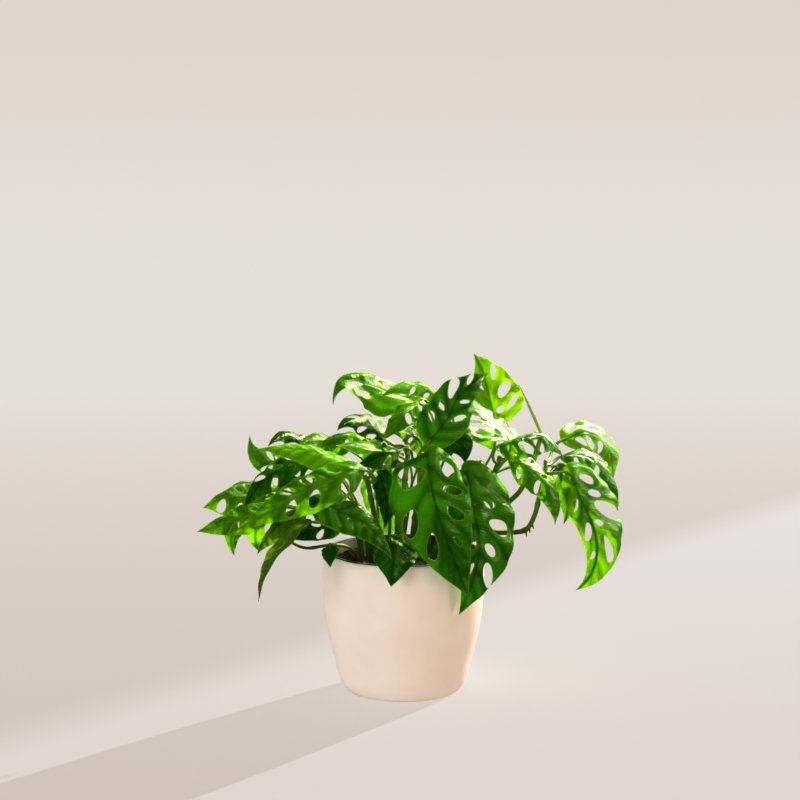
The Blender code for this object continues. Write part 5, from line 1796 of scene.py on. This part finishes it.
class Growth(NodeTree):
    """A Geometry Nodes tree that strews small pieces over a surface, made real and dressed."""

    INPUTS = {"Density": "NodeSocketFloat", "Smallest": "NodeSocketFloat",
              "Largest": "NodeSocketFloat", "Seed": "NodeSocketInt"}
    FULL_TURN = 6.283
    LEAST_SHARE, MOST_SHARE = 0.7, 1.3

    def __init__(self, name: str, material: Material, scatter: Scatter) -> None:
        """Start the tree.

        Args:
            name: the tree's name.
            material: what the pieces wear.
            scatter: how they lie.
        """
        super().__init__(bpy.data.node_groups.new(name, "GeometryNodeTree"))
        self.material, self.scatter = material, scatter
        face = self.tree.interface
        face.new_socket("Surface", in_out="INPUT", socket_type="NodeSocketGeometry")
        self.ids = {label: face.new_socket(label, in_out="INPUT", socket_type=kind).identifier
                    for label, kind in self.INPUTS.items()}
        face.new_socket("Pieces", in_out="OUTPUT", socket_type="NodeSocketGeometry")
        self.inputs = self.tree.nodes.new("NodeGroupInput").outputs
        self.output = self.tree.nodes.new("NodeGroupOutput").inputs[0]

    def _random(self, kind: str, low: object, high: object) -> Socket:
        """Draw a number or a vector for each piece.

        Args:
            kind: FLOAT or FLOAT_VECTOR.
            low: the least value.
            high: the greatest value.

        Returns:
            The value.
        """
        low_key, high_key, out = {"FLOAT_VECTOR": (0, 1, 0), "FLOAT": (2, 3, 1)}[kind]
        values = {low_key: low, high_key: high, "Seed": self.inputs["Seed"]}
        return self.add("FunctionNodeRandomValue", values, data_type=kind).outputs[out]

    def strew(self, piece: Socket) -> None:
        """Put turned and sized copies of a piece on the surface.

        Args:
            piece: the geometry of one piece, in units of its size.
        """
        tilt, flat = self.scatter.tilt, self.scatter.flat
        least, most = self.LEAST_SHARE, self.MOST_SHARE
        spots = self.add("GeometryNodeDistributePointsOnFaces",
                         {"Mesh": self.inputs["Surface"], "Density": self.inputs["Density"],
                          "Seed": self.inputs["Seed"]})
        turn = self._random("FLOAT_VECTOR", (-tilt, -tilt, 0.0), (tilt, tilt, self.FULL_TURN))
        size = self._random("FLOAT", self.inputs["Smallest"], self.inputs["Largest"])
        shape = self._random("FLOAT_VECTOR", (least, least, flat * least),
                             (most, most, flat * most))
        scale = self.add("ShaderNodeVectorMath", {0: shape, "Scale": size}, operation="SCALE")
        copies = self.add("GeometryNodeInstanceOnPoints",
                          {"Points": spots.outputs["Points"], "Instance": piece,
                           "Rotation": turn, "Scale": scale.outputs[0]})
        real = self.add("GeometryNodeRealizeInstances", {0: copies.outputs[0]})
        dressed = self.add("GeometryNodeSetMaterial",
                           {0: real.outputs[0], "Material": self.material})
        self.put(self.output, dressed.outputs[0])

    def grow(self, surface: Thing) -> bpy.types.Mesh:
        """Make the strewn pieces real.

        Args:
            surface: the object that they lie on.

        Returns:
            A mesh of all the pieces.
        """
        modifier = surface.modifiers.new("Strewn", "NODES")
        modifier.node_group = self.tree
        for label, key in self.ids.items():
            modifier[key] = getattr(self.scatter, label.lower())
        mesh = evaluated_mesh(surface)
        surface.modifiers.remove(modifier)
        return mesh


@dataclass
class SoilBed:
    """The soil: an uneven crumbly surface, strewn with crumbs, chips and fibres."""

    cup: InnerPot
    bottom: float = 7.8
    bump: float = 0.9
    crown: float = 1.4
    gap: float = 0.4
    edge_room: float = 0.4
    edge_drop: float = 1.0
    rings: int = 44
    sides: int = 150
    crumbs: Scatter = Scatter(150000.0, 0.0004, 0.0013, flat=0.75, tilt=1.5, seed=3)
    chips: Scatter = Scatter(16000.0, 0.0006, 0.0022, flat=0.35, tilt=0.5, seed=8)
    fibres: Scatter = Scatter(14000.0, 0.002, 0.006, flat=1.0, tilt=0.35, seed=5)
    chip_size: tuple = (2.2, 1.0, 1.0)
    fibre_bow: tuple = ((-1.0, 0.0, 0.0), (0.1, 0.7, 0.35), (1.0, -0.1, 0.05))
    fibre_radius: float = 0.06

    def wall(self, height: float) -> float:
        """Radius of the soil at a height."""
        return self.cup.radius(height) - self.cup.wall - self.gap

    def height(self, x: float, y: float) -> float:
        """Work out how high the surface is: the solid's law with smaller lumps on it.

        Args:
            x: distance to the right of the pot's axis.
            y: distance behind it.

        Returns:
            The height over the pot's foot.
        """
        radius = math.hypot(x, y)
        bump = math.sin(0.31 * x + 1.3) * math.cos(0.27 * y) + 0.6 * math.sin(0.53 * y - 0.41 * x)
        small = math.sin(0.9 * x + 0.4 * y) * math.sin(1.1 * y - 0.5 * x + 2) * 0.35
        small += math.sin(2.3 * x - 1.1 * y + 1) * math.sin(2.6 * y + 0.7 * x) * 0.22
        dome = self.crown * (1 - (radius / self.cup.top_radius) ** 2)
        return SOIL_TOP + dome + self.bump * bump + small

    def _circle(self, radius: float) -> list[tuple[float, float]]:
        """Flat points round the axis."""
        angles = [math.tau * i / self.sides for i in range(self.sides)]
        return [(radius * math.cos(angle), radius * math.sin(angle)) for angle in angles]

    def _top(self) -> tuple[list, list]:
        """Lay the upper surface, the outer ring first.

        Returns:
            Its points and faces.
        """
        points, faces = [], []
        reach = self.wall(SOIL_TOP) - self.edge_room
        for ring in range(self.rings, 0, -1):
            drop = self.edge_drop * (ring / self.rings) ** 12
            for x, y in self._circle(reach * ring / self.rings):
                points.append((x, y, self.height(x, y) - drop))
        points.append((0.0, 0.0, self.height(0.0, 0.0)))
        for ring in range(self.rings - 1):
            for i in range(self.sides):
                a, b = ring * self.sides + i, ring * self.sides + (i + 1) % self.sides
                faces.append((a, b, b + self.sides, a + self.sides))
        inner = (self.rings - 1) * self.sides
        faces += [(inner + i, inner + (i + 1) % self.sides, len(points) - 1)
                  for i in range(self.sides)]
        return points, faces

    def build(self, earth: Material, fibre: Material) -> None:
        """Make the soil over its solid, crumbs and fibres included.

        Args:
            earth: the soil's material.
            fibre: what chips and fibres wear.
        """
        points, faces = self._top()
        surface = Draft().add(points, faces).build("soil_surface", (earth,))
        foot = len(points)
        reach = self.wall(self.bottom) - self.edge_room
        points += [(x, y, self.bottom) for x, y in self._circle(reach)]
        faces += [(foot + i, foot + (i + 1) % self.sides, (i + 1) % self.sides, i)
                  for i in range(self.sides)]
        faces.append(tuple(reversed(range(foot, foot + self.sides))))
        bed = Draft().add(points, faces).build("soil_bed", (earth, fibre))
        crumbs = Growth("Soil crumbs", earth, self.crumbs)
        crumbs.strew(crumbs.add("GeometryNodeMeshIcoSphere", {"Radius": 1.0}).outputs["Mesh"])
        chips = Growth("Bark chips", fibre, self.chips)
        chips.strew(chips.add("GeometryNodeMeshCube", {"Size": self.chip_size}).outputs["Mesh"])
        growths = (crumbs, chips, self._fibres(fibre))
        join(bed, [growth.grow(surface) for growth in growths], (0, 1, 1))
        bpy.data.objects.remove(surface, do_unlink=True)
        dress(bed, "soil")

    def _fibres(self, fibre: Material) -> Growth:
        """Build a tree that strews thin bent fibres.

        Args:
            fibre: what they wear.

        Returns:
            The tree.
        """
        growth = Growth("Soil fibres", fibre, self.fibres)
        start, middle, end = self.fibre_bow
        bow = growth.add("GeometryNodeCurveQuadraticBezier",
                         {"Resolution": 5, "Start": start, "Middle": middle, "End": end})
        ring = growth.add("GeometryNodeCurvePrimitiveCircle",
                          {"Resolution": 5, "Radius": self.fibre_radius})
        thread = growth.add("GeometryNodeCurveToMesh",
                            {"Curve": bow.outputs[0], "Profile Curve": ring.outputs[0],
                             "Fill Caps": True})
        growth.strew(thread.outputs[0])
        return growth


def join(thing: Thing, meshes: Sequence[bpy.types.Mesh], slots: Sequence[int]) -> None:
    """Add meshes to an object's own.

    Args:
        thing: the object.
        meshes: the meshes, which are used up.
        slots: for each one, which of the object's materials it wears.
    """
    whole = bmesh.new()
    whole.from_mesh(thing.data)
    for mesh, slot in zip(meshes, slots):
        for polygon in mesh.polygons:
            polygon.material_index = slot
        whole.from_mesh(mesh)
        bpy.data.meshes.remove(mesh)
    whole.to_mesh(thing.data)
    whole.free()


class Reach(Enum):
    """What a light shines on, by the name of that collection."""

    BACKDROP = "backdrop"
    REST = "not_backdrop"
    RIGHT = "right_side"
    POT = "pot_side"
    PLANT = "plant_side"


class Duty(Enum):
    """What a lamp is for: streaks on the wax of the leaves alone, or soft light alone."""

    GLOSS = "gloss"
    FILL = "fill"


@dataclass(frozen=True)
class Sun:
    """A sun behind the plant on the right: its height and width in degrees, and its power."""

    name: str
    reach: Reach
    height: float
    width: float
    power: float


@dataclass(frozen=True)
class Lamp:
    """A square soft lamp: its place and width in metres, its power in watts and its colour."""

    name: str
    duty: Duty
    reach: Reach
    place: tuple
    width: float
    power: float
    colour: tuple


SUNS = (
    Sun("floor_sun", Reach.BACKDROP, height=13.0, width=0.6, power=7.5),
    Sun("plant_sun", Reach.PLANT, height=42.0, width=2.0, power=16.0),
    Sun("pot_sun", Reach.POT, height=30.0, width=6.0, power=7.0),
)
LAMPS = (
    Lamp("gloss_sun", Duty.GLOSS, Reach.PLANT, (0.92, 1.36, 1.65), 0.6, 220.0, (1.0, 0.97, 0.48)),
    Lamp("gloss_side", Duty.GLOSS, Reach.PLANT, (1.6, 0.8, 1.0), 0.4, 45.0, (1.0, 0.97, 0.60)),
    Lamp("gloss_right", Duty.GLOSS, Reach.RIGHT, (0.89, 1.54, 1.50), 1.1, 260.0, (1.0, 0.99, 0.80)),
    Lamp("gloss_edges", Duty.GLOSS, Reach.RIGHT, (1.7, -0.6, 0.95), 0.35, 45.0, (1.0, 0.99, 0.80)),
    Lamp("gloss_streaks", Duty.GLOSS, Reach.PLANT, (1.3, -0.5, 0.9), 0.3, 16.0, (1.0, 0.98, 0.70)),
    Lamp("gloss_front", Duty.GLOSS, Reach.PLANT, (1.0, -1.5, 1.1), 0.5, 8.0, (1.0, 0.95, 0.35)),
    Lamp("back_fill", Duty.FILL, Reach.REST, (1.3, 1.5, 1.2), 1.0, 16.0, (1.0, 0.97, 0.80)),
    Lamp("left_fill", Duty.FILL, Reach.REST, (-1.9, -1.4, 0.75), 1.0, 20.0, (0.98, 0.98, 1.0)),
    Lamp("warm_fill", Duty.FILL, Reach.REST, (1.6, -1.3, 0.45), 0.8, 5.0, (1.0, 0.78, 0.50)),
    Lamp("pot_left_fill", Duty.FILL, Reach.POT, (-1.9, -1.4, 0.12), 1.2, 22.0, (1.0, 0.965, 0.94)),
    Lamp("pot_low_fill", Duty.FILL, Reach.POT, (0.95, -0.35, -0.75), 0.9, 6.2, (1.0, 0.85, 0.71)),
    Lamp("pot_warm_fill", Duty.FILL, Reach.POT, (1.6, -1.3, 0.2), 1.2, 6.6, (1.0, 0.76, 0.56)),
)


@dataclass
class Studio:
    """Camera, floor with its curved back, and light, in metres. Lens and sensor are millimetres."""

    eye: tuple = (-0.0029, -2.1, 0.59)
    aim: tuple = (-0.0029, 0.0, 0.273)
    lens: float = 103.68
    sensor: float = 36.0
    sight: float = 100.0
    sun_way: tuple = (0.63, 0.78)
    sun_colour: tuple = (1.0, 0.96, 0.90)
    lamp_aim: tuple = (0.0, 0.0, 0.2)
    air: float = 0.28
    air_colour: tuple = rgb(1.0, 0.94, 0.86)
    gloss_air: float = 0.02
    floor_front: float = -6.0
    floor_back: float = 3.2
    bend: float = 2.0
    bend_steps: int = 24
    wall_top: float = 7.0
    half_width: float = 9.0
    base: tuple = rgb(0.19, 0.22, 0.262)
    near_glow: tuple = rgb(0.583, 0.486, 0.426)
    far_glow: tuple = rgb(0.735, 0.672, 0.617)
    high_glow: tuple = rgb(0.685, 0.605, 0.548)
    glow_depths: tuple = (-0.4, 1.9)
    glow_heights: tuple = (0.1, 0.6)
    screen_off: float = 9.0
    screen_gap: float = 0.163
    screen_width: float = 14.0
    screen_height: float = 3.0

    def build(self) -> None:
        """Make all of it round the finished plant."""
        self.groups = {reach: bpy.data.collections.new(reach.value) for reach in Reach}
        for name in RIGHT_BLADES:
            self.groups[Reach.RIGHT].objects.link(bpy.data.objects[name])
        for reach in (Reach.POT, Reach.PLANT):
            self.groups[reach].objects.link(bpy.data.objects["clay_pot"])
        self._camera()
        self._floor()
        self._screen()
        self._air()
        self._lights()
        for reach in (Reach.REST, Reach.PLANT):
            for state in self.groups[reach].collection_objects:
                state.light_linking.link_state = "EXCLUDE"

    def _aimed(self, data: bpy.types.ID, place: Sequence, at: Sequence) -> Thing:
        """Put a camera or light in place and turn it to a point.

        Args:
            data: the camera or light.
            place: where it stands.
            at: the point.

        Returns:
            Its object.
        """
        thing = bpy.data.objects.new(data.name, data)
        thing.location = place
        way = Vector(at) - Vector(place)
        thing.rotation_euler = way.to_track_quat("-Z", "Y").to_euler()
        bpy.context.scene.collection.objects.link(thing)
        return thing

    def _camera(self) -> None:
        """Set up the camera at the photograph's viewing angle."""
        camera = bpy.data.cameras.new("camera")
        camera.lens, camera.sensor_width, camera.clip_end = self.lens, self.sensor, self.sight
        bpy.context.scene.camera = self._aimed(camera, self.eye, self.aim)

    def _floor(self) -> None:
        """Lay a pale floor and the wall that it curves up into far behind, evenly lit."""
        r = Recipe("pale_backdrop")
        place = r.add("ShaderNodeSeparateXYZ", {0: r.place})
        depth = r.between(place.outputs["Y"], *self.glow_depths, 0.0, 1.0)
        height = r.between(place.outputs["Z"], *self.glow_heights, 0.0, 1.0)
        glow = r.mix(height, r.mix(depth, self.near_glow, self.far_glow), self.high_glow)
        r.set(Base_Color=self.base, Roughness=1.0, Specular_IOR_Level=0.0, Emission_Color=glow,
              Emission_Strength=1.0)
        curve = []
        for i in range(self.bend_steps + 1):
            angle = math.pi / 2 * i / self.bend_steps
            curve.append((self.floor_back + self.bend * math.sin(angle),
                          self.bend - self.bend * math.cos(angle)))
        self._sheet("floor", [(self.floor_front, 0.0), (self.floor_back, 0.0)], r.material)
        wall = curve + [(self.floor_back + self.bend, self.wall_top)]
        self._sheet("wall", wall, r.material)

    def _sheet(self, name: str, profile: Sequence, skin: Material) -> None:
        """Hang a wide strip of backdrop that only the camera and the floor's sun see.

        Args:
            name: the strip's name.
            profile: depths and heights that it runs through.
            skin: its material.
        """
        sides = (-self.half_width, self.half_width)
        points = [(x, y, z) for y, z in profile for x in sides]
        faces = [(2 * i, 2 * i + 1, 2 * i + 3, 2 * i + 2) for i in range(len(profile) - 1)]
        mesh = bpy.data.meshes.new(name)
        mesh.from_pydata(points, [], faces)
        mesh.polygons.foreach_set("use_smooth", [True] * len(faces))
        mesh.materials.append(skin)
        sheet = bpy.data.objects.new(name, mesh)
        bpy.context.scene.collection.objects.link(sheet)
        sheet.visible_shadow = sheet.visible_diffuse = sheet.visible_transmission = False
        sheet.visible_glossy = False
        for reach in (Reach.BACKDROP, Reach.REST, Reach.PLANT):
            self.groups[reach].objects.link(sheet)

    def _screen(self) -> None:
        """Stand a tall screen far off that keeps the sun from the floor behind the plant."""
        toward = Vector((*self.sun_way, 0)).normalized()
        aside = Vector((-toward.y, toward.x, 0))
        edge = toward * self.screen_off + aside * self.screen_gap
        far = edge + aside * self.screen_width
        rise = UP * self.screen_height
        mesh = bpy.data.meshes.new("sun_screen")
        mesh.from_pydata([edge, far, far + rise, edge + rise], [], [(0, 1, 2, 3)])
        screen = bpy.data.objects.new("sun_screen", mesh)
        bpy.context.scene.collection.objects.link(screen)
        screen.visible_camera = screen.visible_diffuse = screen.visible_glossy = False
        screen.visible_transmission = False

    def _air(self) -> None:
        """Fill the studio with even soft light, dimmer in reflections to keep the greens dark and
        rich.
        """
        world = bpy.data.worlds.new("studio_air")
        bpy.context.scene.world = world
        world.use_nodes = True
        tree = NodeTree(world.node_tree)
        glossy = tree.add("ShaderNodeLightPath").outputs["Is Glossy Ray"]
        level = tree.add("ShaderNodeMapRange", {"Value": glossy, "To Min": self.air,
                                                "To Max": self.gloss_air})
        air = world.node_tree.nodes["Background"].inputs
        tree.put(air["Color"], self.air_colour)
        tree.put(air["Strength"], level.outputs["Result"])

    def _lights(self) -> None:
        """Put up the suns and the soft lamps."""
        for sun in SUNS:
            light = bpy.data.lights.new(sun.name, "SUN")
            light.energy, light.angle = sun.power, math.radians(sun.width)
            light.color = self.sun_colour
            toward = Vector((*self.sun_way, math.tan(math.radians(sun.height)))).normalized()
            thing = self._aimed(light, toward * 5, (0, 0, 0))
            thing.light_linking.receiver_collection = self.groups[sun.reach]
            thing.visible_glossy = sun.reach is Reach.BACKDROP
        for lamp in LAMPS:
            light = bpy.data.lights.new(lamp.name, "AREA")
            light.size, light.energy, light.color = lamp.width, lamp.power, lamp.colour
            thing = self._aimed(light, lamp.place, self.lamp_aim)
            thing.light_linking.receiver_collection = self.groups[lamp.reach]
            thing.visible_camera = False
            thing.visible_diffuse = thing.visible_transmission = lamp.duty is Duty.FILL
            thing.visible_glossy = lamp.duty is Duty.GLOSS


GREEN_FINISH = LeafFinish(
    Skin.GREEN.value, upper=rgb(0.100, 0.460, 0.0005), deep=rgb(0.020, 0.145, 0.0003),
    vein=rgb(0.280, 0.580, 0.014), lower=rgb(0.075, 0.270, 0.004), rim=rgb(0.34, 0.64, 0.006),
    glow=rgb(0.62, 1.0, 0.003), through=0.42, roughness=0.18)
LEAF_FINISHES = {
    Skin.GREEN: GREEN_FINISH,
    Skin.RIBBED: replace(
        GREEN_FINISH, name=Skin.RIBBED.value, deep=rgb(0.018, 0.135, 0.0003),
        vein=rgb(0.022, 0.075, 0.001)),
    # Painted shade: much darker greens and little light let through, for leaves in shade
    Skin.DARK: LeafFinish(
        Skin.DARK.value, upper=rgb(0.018, 0.150, 0.0004), deep=rgb(0.004, 0.055, 0.0003),
        vein=rgb(0.012, 0.038, 0.0008), lower=rgb(0.045, 0.190, 0.003), rim=rgb(0.19, 0.45, 0.006),
        glow=rgb(0.30, 0.85, 0.003), through=0.18, roughness=0.18),
    # Partly painted light: brighter lime greens stand in for sun shining through from behind,
    # besides the paler green of young leaves
    Skin.LIME: LeafFinish(
        Skin.LIME.value, upper=rgb(0.230, 0.640, 0.0008), deep=rgb(0.100, 0.420, 0.0006),
        vein=rgb(0.045, 0.150, 0.001), lower=rgb(0.18, 0.48, 0.006), rim=rgb(0.42, 0.76, 0.008),
        glow=rgb(0.74, 1.0, 0.003), through=0.62, roughness=0.20),
    # Painted shade: darker greens and less light let through, for front leaves that lie in shade
    Skin.DEEP: LeafFinish(
        Skin.DEEP.value, upper=rgb(0.074, 0.405, 0.0005), deep=rgb(0.0105, 0.102, 0.0003),
        vein=rgb(0.015, 0.044, 0.0008), lower=rgb(0.045, 0.200, 0.003), rim=rgb(0.28, 0.56, 0.008),
        glow=rgb(0.34, 0.90, 0.003), through=0.14, roughness=0.20),
    Skin.NEW: LeafFinish(
        Skin.NEW.value, upper=rgb(0.42, 0.46, 0.16), deep=rgb(0.24, 0.29, 0.08),
        vein=rgb(0.16, 0.15, 0.05), lower=rgb(0.30, 0.36, 0.10), rim=rgb(0.62, 0.64, 0.34),
        glow=rgb(0.70, 0.85, 0.15), through=0.30, roughness=0.30),
    Skin.OLIVE: LeafFinish(
        Skin.OLIVE.value, upper=rgb(0.115, 0.290, 0.006), deep=rgb(0.055, 0.165, 0.004),
        vein=rgb(0.030, 0.080, 0.003), lower=rgb(0.09, 0.22, 0.010), rim=rgb(0.26, 0.48, 0.020),
        glow=rgb(0.68, 0.95, 0.020), through=0.36, roughness=0.25),
}
TONE_SKINS = {Tone.GREEN: Skin.GREEN, Tone.DARK: Skin.DARK, Tone.LIME: Skin.LIME}
SPECIAL_SKINS = {
    # Painted shade: this leaf in the shaded crown wears the darker copy of the skin
    "leaf_centre_left": Skin.DARK,
    # Painted shade: these front leaves wear the darker, shaded copy of the green skin
    "leaf_front_centre": Skin.DEEP,
    "leaf_front_right": Skin.DEEP,
    "leaf_top_centre": Skin.DEEP,
    "leaf_front_left_dark": Skin.DEEP,
    "leaf_far_right_front": Skin.RIBBED,
    "leaf_far_right_arch": Skin.RIBBED,
    "leaf_right_inner": Skin.RIBBED,
    "leaf_right_mid": Skin.RIBBED,
    "leaf_low_left_thin": Skin.OLIVE,
    "leaf_low_left_pale": Skin.OLIVE,
    "leaf_far_left_pale": Skin.OLIVE,
    "leaf_olive_mid": Skin.OLIVE,
}
STEM_FINISH = StemFinish("stem_skin", green=rgb(0.055, 0.160, 0.003),
                         light=rgb(0.190, 0.370, 0.012), scar=rgb(0.150, 0.085, 0.030),
                         foot=rgb(0.016, 0.048, 0.002))
CLAY_FINISH = ClayFinish("pale_matt_clay", pale=rgb(0.90, 0.785, 0.70),
                         warm=rgb(0.87, 0.735, 0.635), pore=rgb(0.5, 0.36, 0.27))
SOIL_FINISH = SoilFinish("damp_soil", dark=rgb(0.008, 0.0045, 0.0025),
                         brown=rgb(0.026, 0.013, 0.007), red=rgb(0.085, 0.032, 0.015))
FIBRE_FINISH = SoilFinish("soil_fibre", dark=rgb(0.032, 0.014, 0.007),
                          brown=rgb(0.075, 0.031, 0.015), red=rgb(0.14, 0.075, 0.035))
PLASTIC_FINISH = PlasticFinish("black_moulded_plastic", colour=rgb(0.006, 0.006, 0.006),
                               dust=rgb(0.016, 0.014, 0.012))

# Blades that the lamps of the right side light, and the ways of the root stubs on a stem
RIGHT_BLADES = ("blade_glossy_white", "blade_right_mid", "blade_far_right_top",
                "blade_far_right_arch", "blade_right_folded", "blade_right_inner",
                "blade_far_right_front", "blade_right_small")
ROOT_STUBS = {"vine_right": ((0.595, (0.1, -0.3, -1.0)), (0.622, (0.15, 0.1, -1.0)),
                             (0.648, (0.3, -0.2, -1.0)))}


def main() -> None:
    """Build every piece of the potted plant, then the studio round it."""
    logging.basicConfig(level=logging.INFO, format="%(levelname)s %(message)s", stream=sys.stdout)
    skins = {skin: finish.make() for skin, finish in LEAF_FINISHES.items()}
    stem_skin = STEM_FINISH.make()
    OuterPot().build(CLAY_FINISH.make())
    cup = InnerPot()
    cup.build(PLASTIC_FINISH.make())
    SoilBed(cup).build(SOIL_FINISH.make(), FIBRE_FINISH.make())
    vines = {vine.name: (vine, Path(vine.points, UP)) for vine in VINES}
    for vine, path in vines.values():
        Stem(vine, path, stubs=ROOT_STUBS.get(vine.name, ())).build(stem_skin)
    for plan in LEAVES:
        FineLeaf(plan).build(vines, skins, stem_skin)
    Spear().build(skins[Skin.NEW])
    Studio().build()
    bpy.context.scene.view_settings.view_transform = "Standard"


if __name__ == "__main__":
    main()
